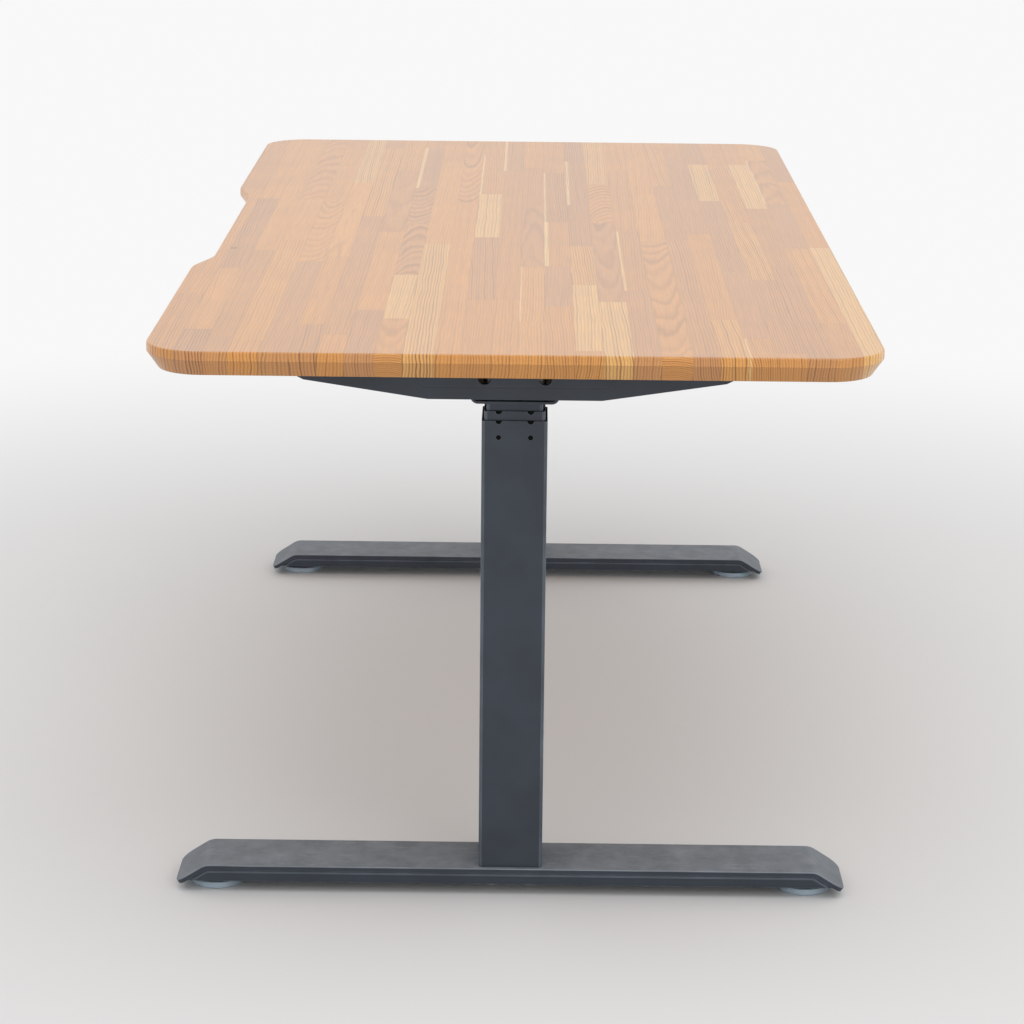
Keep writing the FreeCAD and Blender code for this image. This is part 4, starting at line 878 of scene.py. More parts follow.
def geometry_tree(name: str, inputs: Mapping[str, Any]) -> tuple[Tree, dict[str, Any]]:
    """Starts a geometry tree with named inputs.

    Args:
        name: The tree's name.
        inputs: The inputs' names, and values of their kinds.

    Returns:
        The tree, and the sockets that bring its inputs in, by name.
    """
    tree = bpy.data.node_groups.new(name, "GeometryNodeTree")
    tree.interface.new_socket("Geometry", in_out="INPUT", socket_type="NodeSocketGeometry")
    for label, value in inputs.items():
        tree.interface.new_socket(label, in_out="INPUT", socket_type=SOCKETS[type(value)])
    tree.interface.new_socket("Geometry", in_out="OUTPUT", socket_type="NodeSocketGeometry")
    entry = add(tree, "NodeGroupInput")
    return tree, {socket.name: socket for socket in entry.outputs if socket.name}


def close_tree(tree: Tree, geometry: Any, finish: Any, kept: Any = None) -> Tree:
    """Ends a geometry tree: instances made real, with their finish.

    Args:
        tree: The tree.
        geometry: What the tree has made.
        finish: The socket that brings the material in.
        kept: Geometry that keeps its own finish, if any.

    Returns:
        The tree.
    """
    real = add(tree, "GeometryNodeRealizeInstances", {0: geometry})
    done = add(tree, "GeometryNodeSetMaterial", {"Geometry": real, "Material": finish})
    if kept is not None:
        done = add(tree, "GeometryNodeJoinGeometry", {0: [kept, done]})
    add(tree, "NodeGroupOutput", {0: done})
    return tree


def grown(piece: Piece, tree: Tree, inputs: Mapping[str, Any]) -> Piece:
    """Runs a geometry tree on a piece and keeps the result as plain mesh.

    Args:
        piece: The piece that the tree starts from.
        tree: The tree.
        inputs: Values of its named inputs.

    Returns:
        The piece.
    """
    modifier = piece.modifiers.new(tree.name, "NODES")
    modifier.node_group = tree
    for item in tree.interface.items_tree:
        if item.in_out == "INPUT" and item.name in inputs:
            modifier[item.identifier] = inputs[item.name]
    baked(piece)
    smooth(piece)
    return piece


@dataclass(frozen=True)
class Fastener:
    """A bolt or screw, in mm: a headed shape set on every seat of a CAD node by one geometry tree."""

    head_sides: int
    head_radius: float
    head_height: float
    dome: float
    flange_radius: float
    flange_height: float
    shank_radius: float
    shank_length: float
    recess_points: int
    recess_radius: float
    recess_waist: float
    recess_depth: float
    seed: int = 5

    def inputs(self) -> dict[str, Any]:
        """The named inputs of the tree, with lengths in metres.

        Returns:
            Each field's value by its name, and the finish.
        """
        given: dict[str, Any] = {}
        for item in fields(self):
            value = getattr(self, item.name)
            is_length = isinstance(value, float) and item.name != "dome"
            given[item.name.replace("_", " ").title()] = value * MM if is_length else value
        return given | {"Finish": SHELF["zinc_steel"]}

    def tree(self) -> Tree:
        """Builds the tree: one fastener, set on every point along its axis with a turn of its own.

        Returns:
            The tree.
        """
        tree, given = geometry_tree("fasteners_on_seats", self.inputs())
        solid = calc(tree, "SUBTRACT", given["Head Height"], given["Recess Depth"])
        head_middle = calc(tree, "MULTIPLY_ADD", solid, 0.5, given["Flange Height"])
        rim_level = calc(tree, "ADD", solid, given["Flange Height"])
        shank_middle = calc(tree, "MULTIPLY", given["Shank Length"], -0.5)
        head = add(
            tree,
            "GeometryNodeMeshCylinder",
            {"Vertices": given["Head Sides"], "Radius": given["Head Radius"], "Depth": solid},
        )
        shank = add(
            tree,
            "GeometryNodeMeshCylinder",
            {"Vertices": 16, "Radius": given["Shank Radius"], "Depth": given["Shank Length"]},
        )
        chamfered = calc(tree, "MULTIPLY", given["Flange Radius"], 0.9)
        flange = add(
            tree,
            "GeometryNodeMeshCone",
            {
                "Vertices": 24,
                "Radius Bottom": given["Flange Radius"],
                "Radius Top": chamfered,
                "Depth": given["Flange Height"],
            },
        )
        parts: list[Any] = [flange]
        rim = self.rim(tree, given)
        for part, level in ((head, head_middle), (rim, rim_level), (shank, shank_middle)):
            offset = add(tree, "ShaderNodeCombineXYZ", {2: level})
            parts.append(add(tree, "GeometryNodeTransform", {"Geometry": part, "Translation": offset}))
        whole = add(tree, "GeometryNodeJoinGeometry", {0: parts})
        axis = add(tree, "GeometryNodeInputNamedAttribute", {"Name": "axis"}, data_type="FLOAT_VECTOR")
        upright = add(tree, "FunctionNodeAlignRotationToVector", {"Vector": axis}, axis="Z")
        seeded = {3: math.tau, "Seed": given["Seed"]}
        chance = add(tree, "FunctionNodeRandomValue", seeded, data_type="FLOAT")
        spin = add(tree, "FunctionNodeAxisAngleToRotation", {"Angle": chance.outputs[1]})
        turned = add(tree, "FunctionNodeRotateRotation", {0: upright, 1: spin}, rotation_space="LOCAL")
        placed = {"Points": given["Geometry"], "Instance": whole, "Rotation": turned}
        spread = add(tree, "GeometryNodeInstanceOnPoints", placed)
        return close_tree(tree, spread, given["Finish"])

    def rim(self, tree: Tree, given: dict[str, Any]) -> bpy.types.Node:
        """The part of the head round its recess, drawn in towards the top in two steps.

        Args:
            tree: The tree.
            given: The tree's inputs.

        Returns:
            The node that makes it.
        """
        outline = add(
            tree,
            "GeometryNodeCurvePrimitiveCircle",
            {"Resolution": given["Head Sides"], "Radius": given["Head Radius"]},
        )
        recess = add(
            tree,
            "GeometryNodeCurveStar",
            {
                "Points": given["Recess Points"],
                "Inner Radius": given["Recess Waist"],
                "Outer Radius": given["Recess Radius"],
            },
        )
        both = add(tree, "GeometryNodeJoinGeometry", {0: [outline, recess]})
        face = add(tree, "GeometryNodeFillCurve", {"Curve": both}, mode="NGONS")
        at = add(tree, "GeometryNodeInputPosition")
        flat = vector(tree, "MULTIPLY", at, (1.0, 1.0, 0.0))
        out = length_of(tree, flat)
        clear = calc(tree, "MULTIPLY", given["Recess Radius"], 1.05)
        outside = calc(tree, "GREATER_THAN", out, clear)
        for share, power in ((0.6, 0.35), (0.4, 0.65)):
            rise = calc(tree, "MULTIPLY", given["Recess Depth"], share)
            pulled = {"Mesh": face, "Offset Scale": rise, "Individual": False}
            raised = add(tree, "GeometryNodeExtrudeMesh", pulled)
            top = calc(tree, "MULTIPLY", raised.outputs["Top"], outside)
            shrink = calc(tree, "POWER", given["Dome"], power)
            scale = add(tree, "ShaderNodeCombineXYZ", {0: shrink, 1: shrink, 2: 1.0})
            drawn_in = vector(tree, "MULTIPLY", at, scale)
            narrowed = {"Geometry": raised, "Selection": top, "Position": drawn_in}
            face = add(tree, "GeometryNodeSetPosition", narrowed)
        return face

    def seats(self, node: str) -> list[tuple[Vector, Vector]]:
        """Finds the seat and the axis of each fastener in a CAD node.

        Args:
            node: A node of separate fasteners.

        Returns:
            The point under each head, and the direction from the shank to the head.
        """
        work = bmesh.new()
        work.from_mesh(frame["nodes"][node].data)
        bmesh.ops.remove_doubles(work, verts=work.verts, dist=0.002 * MM)
        waiting = set(work.verts)
        found = []
        while waiting:
            group = [min(waiting, key=lambda vertex: vertex.index)]
            waiting.discard(group[0])
            for vertex in group:
                near = {edge.other_vert(vertex) for edge in vertex.link_edges} & waiting
                waiting -= near
                group += near
            found.append(self.seat([vertex.co.copy() for vertex in group]))
        work.free()
        return found

    def seat(self, points: Sequence[Vector]) -> tuple[Vector, Vector]:
        """Finds the seat and axis of one fastener.

        Args:
            points: The points of its CAD solid.

        Returns:
            The point under its head, and the direction from its shank to its head.
        """
        low = Vector([min(p[i] for p in points) for i in range(3)])
        high = Vector([max(p[i] for p in points) for i in range(3)])
        size = high - low
        long_way = max(range(3), key=lambda i: size[i])
        centre = (low + high) / 2
        axis = Vector([float(i == long_way) for i in range(3)])
        wide = self.shank_radius * MM * 1.2
        headed = [p[long_way] for p in points if ((p - centre) - (p - centre).project(axis)).length > wide]
        if sum(headed) / len(headed) < centre[long_way]:
            axis = -axis
        top = (high if axis[long_way] > 0 else low)[long_way]
        seat = centre.copy()
        seat[long_way] = top - axis[long_way] * (self.head_height + self.flange_height) * MM
        return seat, axis

    def build(self, node: str) -> Piece:
        """Sets the fasteners on the seats of a CAD node.

        Args:
            node: The node, which they stand for.

        Returns:
            The piece.
        """
        seats = self.seats(node)
        piece = new_piece(f"{node}_headed", [seat for seat, _ in seats], [])
        axes = piece.data.attributes.new("axis", "FLOAT_VECTOR", "POINT")
        axes.data.foreach_set("vector", [value for _, axis in seats for value in axis])
        grown(piece, self.tree(), self.inputs())
        hand_over(piece, body_of(node), [node])
        return piece


@dataclass(frozen=True)
class RibRow:
    """A row of rounded ribs standing out of a moulded wall, in mm."""

    count: int
    pitch: float
    length: float
    width: float
    rise: float

    def build(self, name: str, start: Vector, step: Vector, finish: str) -> Piece:
        """Makes the row by geometry nodes.

        Args:
            name: The piece's name.
            start: Middle of the first rib's foot, in metres.
            step: Direction of the row.
            finish: Its finish.

        Returns:
            The piece.
        """
        inputs = {
            "Count": self.count,
            "Step": step * self.pitch * MM,
            "Length": self.length * MM,
            "Width": self.width * MM,
            "Rise": self.rise * MM,
            "Finish": SHELF[finish],
        }
        tree, given = geometry_tree("rib_row", inputs)
        line = add(tree, "GeometryNodeMeshLine", {"Count": given["Count"], "Offset": given["Step"]})
        sides = {"Width": given["Width"], "Height": given["Length"]}
        outline = add(tree, "GeometryNodeCurvePrimitiveQuadrilateral", sides)
        corner = calc(tree, "MULTIPLY", given["Width"], 0.49)
        arcs = {"Curve": outline, "Radius": corner, "Count": 4}
        rounded = add(tree, "GeometryNodeFilletCurve", arcs, mode="POLY")
        face = add(tree, "GeometryNodeFillCurve", {"Curve": rounded}, mode="NGONS")
        rise = {"Mesh": face, "Offset Scale": given["Rise"], "Individual": False}
        rib = add(tree, "GeometryNodeExtrudeMesh", rise)
        crest = {"Geometry": rib, "Selection": rib.outputs["Top"], "Scale": 0.9}
        slim = add(tree, "GeometryNodeScaleElements", crest)
        over = add(tree, "FunctionNodeAxisAngleToRotation", {"Axis": (1.0, 0.0, 0.0), "Angle": math.pi})
        hung = {"Points": line, "Instance": slim, "Rotation": over}
        row = add(tree, "GeometryNodeInstanceOnPoints", hung)
        spread = add(tree, "GeometryNodeInstanceOnPoints", {"Points": given["Geometry"], "Instance": row})
        close_tree(tree, spread, given["Finish"])
        return grown(new_piece(name, [start], []), tree, inputs)


@dataclass(frozen=True)
class WeldBead:
    """A weld drawn round a closed path as overlapping ripples, in mm."""

    radius: float = 1.3
    pitch: float = 1.5
    seed: int = 11

    def build(self, name: str, path: Sequence[Vector], finish: str) -> Piece:
        """Makes the bead by geometry nodes.

        Args:
            name: The piece's name.
            path: Corners of the closed path, in metres.
            finish: Its finish.

        Returns:
            The piece.
        """
        inputs = {
            "Radius": self.radius * MM,
            "Pitch": self.pitch * MM,
            "Seed": self.seed,
            "Finish": SHELF[finish],
        }
        tree, given = geometry_tree("weld_bead", inputs)
        curve = add(tree, "GeometryNodeMeshToCurve", {"Mesh": given["Geometry"]})
        points = add(
            tree, "GeometryNodeCurveToPoints", {"Curve": curve, "Length": given["Pitch"]}, mode="LENGTH"
        )
        ripple = add(
            tree, "GeometryNodeMeshUVSphere", {"Segments": 8, "Rings": 5, "Radius": given["Radius"]}
        )
        seeded = {2: 0.88, 3: 1.1, "Seed": given["Seed"]}
        size = add(tree, "FunctionNodeRandomValue", seeded, data_type="FLOAT")
        placed = {"Points": points, "Instance": ripple, "Rotation": points.outputs["Rotation"]}
        spread = add(tree, "GeometryNodeInstanceOnPoints", placed | {"Scale": size.outputs[1]})
        close_tree(tree, spread, given["Finish"])
        piece = new_piece(name, path, [])
        piece.data.edges.add(len(path))
        ends = [number for i in range(len(path)) for number in (i, (i + 1) % len(path))]
        piece.data.edges.foreach_set("vertices", ends)
        return grown(piece, tree, inputs)


@dataclass(frozen=True)
class Thread:
    """A rolled thread: a ridge wound round a core, in mm."""

    radius: float
    ridge: float
    lead: float
    length: float

    def wind(self, piece: Piece, start: Vector, finish: str) -> Piece:
        """Winds the ridge round a piece by geometry nodes.

        Args:
            piece: The piece that holds the core.
            start: The lower end of the thread's axis, in metres.
            finish: The ridge's finish.

        Returns:
            The piece.
        """
        inputs = {
            "Start": start,
            "Radius": (self.radius - self.ridge) * MM,
            "Ridge": self.ridge * MM,
            "Turns": self.length / self.lead,
            "Length": self.length * MM,
            "Finish": SHELF[finish],
        }
        tree, given = geometry_tree("thread_on_core", inputs)
        helix = add(
            tree,
            "GeometryNodeCurveSpiral",
            {
                "Resolution": 24,
                "Rotations": given["Turns"],
                "Start Radius": given["Radius"],
                "End Radius": given["Radius"],
                "Height": given["Length"],
            },
        )
        level = add(tree, "GeometryNodeSetCurveNormal", {"Curve": helix}, mode="Z_UP")
        profile = add(tree, "GeometryNodeCurvePrimitiveCircle", {"Resolution": 6, "Radius": given["Ridge"]})
        ridge = add(
            tree, "GeometryNodeCurveToMesh", {"Curve": level, "Profile Curve": profile, "Fill Caps": True}
        )
        placed = add(tree, "GeometryNodeTransform", {"Geometry": ridge, "Translation": given["Start"]})
        close_tree(tree, placed, given["Finish"], kept=given["Geometry"])
        return grown(piece, tree, inputs)


# --------------------------------------------------------------- sub-assemblies


@dataclass
class Worktop:
    """The solid wood top and the screws that hold everything to it."""

    arris: float = 0.7
    screw: Fastener = Fastener(
        head_sides=24,
        head_radius=4.8,
        head_height=2.2,
        dome=0.66,
        flange_radius=4.8,
        flange_height=0.4,
        shank_radius=2.2,
        shank_length=17.0,
        recess_points=4,
        recess_radius=2.7,
        recess_waist=0.9,
        recess_depth=1.6,
    )

    def build(self) -> None:
        """Builds the top, with its sanded edges, and its cross-recessed pan-head screws."""
        Shell("desktop", "wood", edge=self.arris, steps=3).build()
        self.screw.build("desktop_screws")


@dataclass
class Foot:
    """One foot: the bent plate, the channel under it, and the column's bolts."""

    side: str
    plate_edge: float = 0.3
    channel_edge: float = 0.5
    bolt: Fastener = Fastener(
        head_sides=6,
        head_radius=5.8,
        head_height=4.5,
        dome=1.0,
        flange_radius=6.5,
        flange_height=1.5,
        shank_radius=3.0,
        shank_length=27.0,
        recess_points=12,
        recess_radius=4.1,
        recess_waist=4.1,
        recess_depth=0.7,
    )

    def build(self) -> None:
        """Builds the foot."""
        Shell(f"{self.side}_foot_plate", "powder_coat", "foot_coat", self.plate_edge).build()
        Shell(f"{self.side}_foot_channel", "powder_coat", edge=self.channel_edge).build()
        self.bolt.build(f"{self.side}_foot_bolts")


@dataclass
class LevellingGlide:
    """A moulded pad on a threaded stud with a hexagon for the spanner; sizes in mm."""

    node: str
    pad_radius: float = 30.0
    pad_height: float = 8.0
    recess_radius: float = 22.0
    recess_depth: float = 1.2
    hexagon: float = 7.0
    hexagon_height: float = 3.0
    stud: Thread = Thread(radius=4.0, ridge=0.45, lead=1.25, length=14.6)

    def build(self) -> None:
        """Turns the pad, sets the hexagon on it, and winds the stud's thread."""
        low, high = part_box(self.node)
        axis = Vector(((low.x + high.x) / 2, (low.y + high.y) / 2, low.z))
        place = Matrix.Translation(axis)
        full, top = self.pad_radius, self.pad_height
        pad = [(0.0, self.recess_depth), (self.recess_radius, self.recess_depth)]
        pad += [(self.recess_radius + 0.8, 0.0), (full - 2.2, 0.0), (full - 0.8, 0.5), (full, 1.6)]
        pad += [(full, top - 1.8), (full - 0.5, top - 0.7), (full - 1.6, top - 0.1), (full - 3.0, top)]
        pad += [(self.hexagon + 4.0, top), (self.hexagon + 2.5, top + 0.5), (0.0, top + 0.5)]
        glide = Workpiece(f"{self.node}_turned", ("glide_plastic", "zinc_steel"))
        glide.turned(pad, place, sides=72)
        collar = top + self.hexagon_height
        nut = [(0.0, top), (self.hexagon, top), (self.hexagon, collar - 0.5), (self.hexagon - 0.7, collar)]
        glide.turned(nut + [(0.0, collar)], place, sides=6, finish=1)
        core = self.stud.radius - self.stud.ridge
        end = (high.z - low.z) / MM
        stud = [(0.0, top), (core, top), (core, end - 0.6), (core - 0.6, end), (0.0, end)]
        glide.turned(stud, place, sides=24, finish=1)
        start = axis + Vector((0.0, 0.0, collar * MM))
        piece = self.stud.wind(glide.made(), start, "zinc_steel")
        hand_over(piece, body_of(self.node), [self.node])


@dataclass
class Column:
    """The three nested tubes of one leg, with the guides between them."""

    side: str
    rim_edge: float = 0.3

    def build(self) -> None:
        """Builds the tubes and dresses the guides, whose tabs and studs show in the rims."""
        for stage in ("outer", "middle", "inner"):
            Shell(f"{self.side}_{stage}_tube", "powder_coat", edge=self.rim_edge).build()
        for stage in ("outer", "middle"):
            dress(f"{self.side}_{stage}_guides", "guide_plastic")


@dataclass
class LiftingScrews:
    """The two nested screws of one leg with their nut, bearing and carriers; sizes in mm."""

    side: str
    hollow_bore: float = 8.5
    nut_bore: float = 7.3
    head_radius: float = 15.9
    head_length: float = 21.0
    collar_radius: float = 18.0
    collar_length: float = 10.0
    hollow: Thread = Thread(radius=12.0, ridge=1.5, lead=8.0, length=430.0)
    drive: Thread = Thread(radius=7.0, ridge=1.0, lead=8.0, length=460.0)
    journal_radius: float = 6.0
    journal_length: float = 49.0

    def build(self) -> None:
        """Turns both screws and dresses the parts round them."""
        self.hollow_screw()
        self.drive_screw()
        dress(f"{self.side}_lower_nut", "bronze")
        for part in ("leg_base", "carrier_tube", "screw_bearing"):
            dress(f"{self.side}_{part}", "zinc_steel")

    def foot_and_length(self, node: str) -> tuple[Vector, float]:
        """The lower end of a screw's axis in metres, and its length in mm."""
        low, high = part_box(node)
        return Vector(((low.x + high.x) / 2, (low.y + high.y) / 2, low.z)), (high.z - low.z) / MM

    def hollow_screw(self) -> None:
        """The hollow screw: thread, collar and the head that is the drive screw's nut."""
        node = f"{self.side}_hollow_screw"
        foot, length = self.foot_and_length(node)
        neck = length - self.head_length
        collar = neck - self.collar_length
        core = self.hollow.radius - self.hollow.ridge
        outside = [(core, 0.0), (core, collar - 4.0), (self.hollow.radius, collar - 3.0)]
        outside += [(self.hollow.radius, collar), (self.collar_radius - 0.5, collar)]
        outside += [(self.collar_radius, collar + 0.5), (self.collar_radius, neck - 0.5)]
        outside += [(self.collar_radius - 0.5, neck), (self.head_radius, neck)]
        outside += [(self.head_radius, length - 0.8), (self.head_radius - 0.8, length)]
        inside = [(self.nut_bore, length), (self.nut_bore, collar)]
        inside += [(self.hollow_bore, collar), (self.hollow_bore, 0.0)]
        self.cut(node, outside + inside + [(core, 0.0)], 48, self.hollow, foot, 2.0)

    def drive_screw(self) -> None:
        """The drive screw: thread and the journal that the gearbox turns."""
        node = f"{self.side}_drive_screw"
        foot, length = self.foot_and_length(node)
        core = self.drive.radius - self.drive.ridge
        shoulder = length - self.journal_length
        profile = [(0.0, 0.0), (core - 0.8, 0.0), (core, 0.8), (core, shoulder - 1.0)]
        profile += [(self.journal_radius, shoulder), (self.journal_radius, length - 0.8)]
        profile += [(self.journal_radius - 0.8, length), (0.0, length)]
        self.cut(node, profile, 36, self.drive, foot, 1.5)

    def cut(
        self,
        node: str,
        profile: Sequence[tuple[float, float]],
        sides: int,
        thread: Thread,
        foot: Vector,
        plain: float,
    ) -> None:
        """Turns a screw and winds its thread.

        Args:
            node: The CAD node that it stands for.
            profile: Radius and height along its outline, in mm.
            sides: Flats round it.
            thread: Its thread.
            foot: The lower end of its axis, in metres.
            plain: The length below the thread, in mm.
        """
        screw = Workpiece(f"{node}_threaded", ("screw_steel",))
        screw.turned(profile, Matrix.Translation(foot), sides=sides)
        start = foot + Vector((0.0, 0.0, plain * MM))
        piece = thread.wind(screw.made(), start, "screw_steel")
        hand_over(piece, body_of(node), [node])


@dataclass
class LegHead:
    """What sits on one column: the folded tray, the pressed side bracket, gearbox and motor."""

    side: str
    sheet_edge: float = 0.3
    casting_edge: float = 1.5
    bead: WeldBead = WeldBead()
    corner: float = 3.5
    corner_steps: int = 5

    def build(self) -> None:
        """Builds the head."""
        for part in ("head_bracket", "side_bracket"):
            Shell(f"{self.side}_{part}", "powder_coat", edge=self.sheet_edge).build()
        Shell(f"{self.side}_gearbox", "cast_aluminium", edge=self.casting_edge, steps=3).build()
        Shell(f"{self.side}_motor", "motor_can", edge=1.0, steps=3).build()
        self.weld()

    def weld(self) -> None:
        """The bead that joins the inner tube to the tray, under the same coat."""
        low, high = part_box(f"{self.side}_inner_tube")
        centre = (low + high) / 2
        reach = (high.x - low.x) / 2 - self.corner * MM
        path = []
        for quarter, (east, north) in enumerate(((1, 1), (-1, 1), (-1, -1), (1, -1))):
            for step in range(self.corner_steps):
                turn = (quarter + step / (self.corner_steps - 1)) * math.pi / 2
                out = Vector((math.cos(turn), math.sin(turn), 0.0)) * self.corner * MM
                path.append(Vector((centre.x + east * reach, centre.y + north * reach, high.z)) + out)
        piece = self.bead.build(f"{self.side}_head_weld", path, "powder_coat")
        hand_over(piece, body_of(f"{self.side}_inner_tube"))


@dataclass
class Crossbars:
    """The two telescoping rails between the legs, and their bolts."""

    edge: float = 0.8
    bolt: Fastener = Fastener(
        head_sides=24,
        head_radius=5.5,
        head_height=2.9,
        dome=0.62,
        flange_radius=5.5,
        flange_height=0.4,
        shank_radius=3.0,
        shank_length=8.0,
        recess_points=3,
        recess_radius=2.3,
        recess_waist=2.3,
        recess_depth=2.0,
    )

    def build(self) -> None:
        """Builds the rails, the bars inside them and their button-head socket bolts."""
        for row in ("front", "rear"):
            for side in LEGS:
                Shell(f"{side}_{row}_crossbar", "powder_coat", edge=self.edge).build()
            Shell(f"{row}_inner_bar", "powder_coat", edge=self.edge).build()
        self.bolt.build("crossbar_bolts")


@dataclass
class ControlBox:
    """The moulded box under the top with its mains inlet; sizes in mm."""

    moulding_edge: float = 1.0
    ribs: RibRow = RibRow(count=22, pitch=6.0, length=52.0, width=2.4, rise=0.8)
    pins: tuple[tuple[float, float], ...] = ((-7.0, -1.5), (7.0, -1.5), (0.0, 2.5))
    pin_thickness: float = 2.0
    pin_width: float = 4.0
    pin_length: float = 10.0
    cavity: float = 15.0

    def build(self) -> None:
        """Builds the box, the ribs under it and the inlet's pins."""
        for node in ("control_box_base", "control_box_lid"):
            Shell(node, "box_plastic", edge=self.moulding_edge, steps=3).build()
        Shell("mains_inlet", "box_plastic", edge=0.5).build()
        start = middle("control_box_base")
        start.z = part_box("control_box_base")[0].z
        start.x -= self.ribs.pitch * (self.ribs.count - 1) / 2 * MM
        ribs = self.ribs.build("control_box_ribs", start, Vector((1.0, 0.0, 0.0)), "box_plastic")
        hand_over(ribs, "top")
        self.inlet_pins()

    def inlet_pins(self) -> None:
        """Three flat pins in the inlet's cavity."""
        centre = middle("mains_inlet")
        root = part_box("mains_inlet")[1].x - self.cavity * MM
        half, thin = self.pin_width / 2, self.pin_thickness / 2
        bevel = thin / 2
        outline = [(-half, -thin + bevel), (-half + bevel, -thin)]
        outline += [(half - bevel, -thin), (half, -thin + bevel)]
        outline += [(half, thin - bevel), (half - bevel, thin)]
        outline += [(-half + bevel, thin), (-half, thin - bevel)]
        pins = Workpiece("mains_inlet_pins", ("pin_brass",))
        for across, up in self.pins:
            at = Vector((root, centre.y + across * MM, centre.z + up * MM))
            place = Matrix.Translation(at) @ Matrix.Rotation(math.pi / 2, 4, "Y")
            pins.prism(outline, self.pin_length, place)
        hand_over(pins.made(), "top")


class Mark(Enum):
    """What is raised on each key: corners in mm, or a number of dots."""

    down_button = ((-2.2, 1.4), (0.0, -2.2), (2.2, 1.4))
    up_button = ((-2.2, -1.4), (2.2, -1.4), (0.0, 2.2))
    memory_button_1 = 1
    memory_button_2 = 2
    memory_button_3 = 3


@dataclass
class Keypad:
    """The keypad under the front edge; sizes in mm."""

    moulding_edge: float = 0.8
    key_edge: float = 0.6
    mark_rise: float = 0.3
    mark_sunk: float = 0.1
    dot_radius: float = 0.7
    dot_pitch: float = 2.2

    def build(self) -> None:
        """Builds the housing, face, window and marked keys."""
        Shell("keypad_housing", "box_plastic", edge=self.moulding_edge, steps=3).build()
        Shell("keypad_face", "keypad_plastic", edge=0.4).build()
        Shell("display_window", "window", edge=0.15).build()
        for mark in Mark:
            Shell(mark.name, "keypad_plastic", edge=self.key_edge, steps=3).build()
            self.raised_mark(mark)

    def raised_mark(self, mark: Mark) -> None:
        """Puts the mark on a key.

        Args:
            mark: The key's mark.
        """
        face = middle(mark.name)
        face.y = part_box(mark.name)[0].y + self.mark_sunk * MM
        outwards = Matrix.Rotation(math.pi / 2, 4, "X")
        symbol = Workpiece(f"{mark.name}_mark", ("key_mark",))
        height = self.mark_rise + self.mark_sunk
        if isinstance(mark.value, tuple):
            symbol.prism(mark.value, height, Matrix.Translation(face) @ outwards)
        else:
            for i in range(mark.value):
                at = face + Vector(((i - (mark.value - 1) / 2) * self.dot_pitch * MM, 0.0, 0.0))
                dot = [(0.0, 0.0), (self.dot_radius, 0.0), (self.dot_radius * 0.8, height), (0.0, height)]
                symbol.turned(dot, Matrix.Translation(at) @ outwards, sides=16)
        hand_over(symbol.made(), body_of(mark.name))


# ------------------------------------------------------------------- the stage


@dataclass(frozen=True)
class SoftBox:
    """A square lamp: where it stands and how wide it is in metres, and its power in watts."""

    name: str
    place: tuple[float, float, float]
    width: float
    power: float


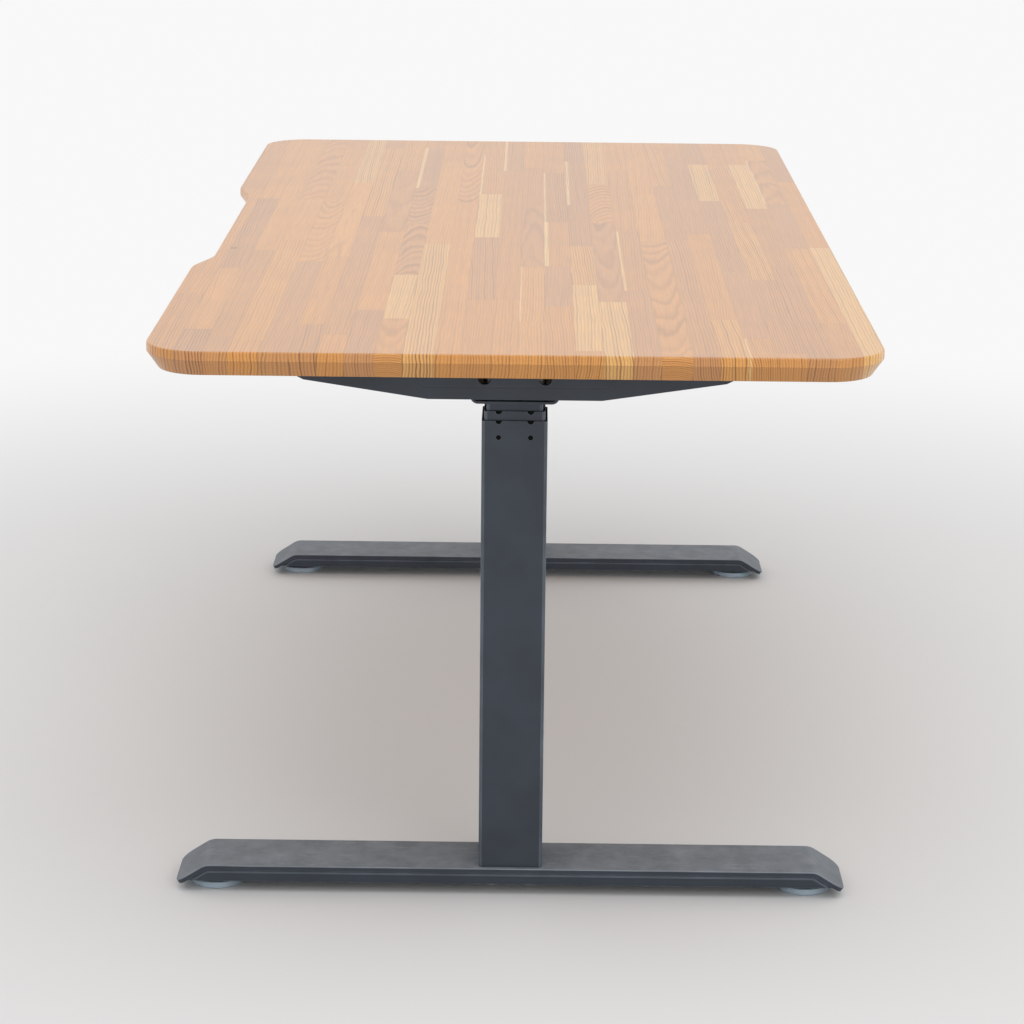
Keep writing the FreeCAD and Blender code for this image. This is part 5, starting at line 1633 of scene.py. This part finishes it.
@dataclass
class Studio:
    """Pale floor, soft light and the camera."""

    camera_at: tuple[float, float, float] = (-3.6826, -0.0152, 1.2654)
    yaw: float = 0.00563
    pitch: float = 0.26652
    roll: float = 0.01017
    lens: float = 103.62
    sensor: float = 36.0
    backdrop: float = 0.94
    floor_radius: float = 14.0
    floor_sides: int = 64
    floor_grey: float = 0.74
    fade_from: float = 1.0
    fade_to: float = 2.4
    aim: tuple[float, float, float] = (0.0, 0.0, 0.4)
    boxes: tuple[SoftBox, ...] = (
        SoftBox("overhead_box", (-0.9, -0.2, 3.2), 2.6, 16.0),
        SoftBox("front_box", (-3.8, -1.6, 1.9), 1.8, 14.0),
    )

    def build(self) -> None:
        """Makes the floor, the lights and the camera."""
        self.floor()
        self.lights()
        self.camera()

    def floor(self) -> None:
        """A pale floor that fades into the backdrop away from the desk and is clear from below."""
        count = self.floor_sides
        points = [(0.0, 0.0, 0.0)]
        for i in range(count):
            turn = math.tau * i / count
            points.append((self.floor_radius * math.cos(turn), self.floor_radius * math.sin(turn), 0.0))
        faces = [(0, 1 + i, 1 + (i + 1) % count) for i in range(count)]
        floor = new_piece("studio_floor", points, faces)
        material, tree = blank_material("studio_floor_pale_matte")
        place = add(tree, "ShaderNodeTexCoord").outputs["Object"]
        away = length_of(tree, place)
        fade = span(tree, away, self.fade_from, self.fade_to)
        fade.interpolation_type = "SMOOTHSTEP"
        matte = add(tree, "ShaderNodeBsdfDiffuse", {"Color": (self.floor_grey,) * 3 + (1.0,)})
        glow = add(tree, "ShaderNodeEmission", {"Color": (self.backdrop,) * 3 + (1.0,), "Strength": 1.0})
        ground = add(tree, "ShaderNodeMixShader", {0: fade, 1: matte, 2: glow})
        clear = add(tree, "ShaderNodeBsdfTransparent")
        behind = add(tree, "ShaderNodeNewGeometry").outputs["Backfacing"]
        seen = add(tree, "ShaderNodeMixShader", {0: behind, 1: ground, 2: clear})
        add(tree, "ShaderNodeOutputMaterial", {"Surface": seen})
        floor.data.materials.append(material)

    def lights(self) -> None:
        """An even white surround, with a soft box overhead and one behind the camera."""
        world = bpy.data.worlds.new("studio_surround")
        world.use_nodes = True
        background = world.node_tree.nodes["Background"]
        background.inputs["Color"].default_value = (self.backdrop,) * 3 + (1.0,)
        background.inputs["Strength"].default_value = 1.0
        bpy.context.scene.world = world
        for box in self.boxes:
            lamp = bpy.data.lights.new(box.name, "AREA")
            lamp.size = box.width
            lamp.energy = box.power
            stand = bpy.data.objects.new(box.name, lamp)
            stand.location = box.place
            aim = Vector(self.aim) - stand.location
            stand.rotation_euler = aim.to_track_quat("-Z", "Y").to_euler()
            bpy.context.scene.collection.objects.link(stand)

    def camera(self) -> None:
        """The camera, low at the left end of the desk."""
        lens = bpy.data.cameras.new("camera")
        lens.lens = self.lens
        lens.sensor_width = self.sensor
        camera = bpy.data.objects.new("camera", lens)
        level = math.cos(self.pitch)
        look = Vector((level * math.cos(self.yaw), level * math.sin(self.yaw), -math.sin(self.pitch)))
        camera.rotation_mode = "QUATERNION"
        camera.rotation_quaternion = look.to_track_quat("-Z", "Y") @ Quaternion((0, 0, 1), self.roll)
        camera.location = self.camera_at
        bpy.context.scene.collection.objects.link(camera)
        bpy.context.scene.camera = camera
        bpy.context.scene.view_settings.view_transform = "Standard"


def main() -> None:
    """Builds the desk's looks, one sub-assembly at a time."""
    logging.basicConfig(level=logging.INFO, format="%(name)s: %(message)s")
    SHELF.stock()
    Studio().build()
    Worktop().build()
    for side in LEGS:
        Foot(side).build()
        for end in ("front", "rear"):
            LevellingGlide(f"{side}_{end}_glide").build()
        Column(side).build()
        LiftingScrews(side).build()
        LegHead(side).build()
    Crossbars().build()
    ControlBox().build()
    Keypad().build()


if __name__ == "__main__":
    main()
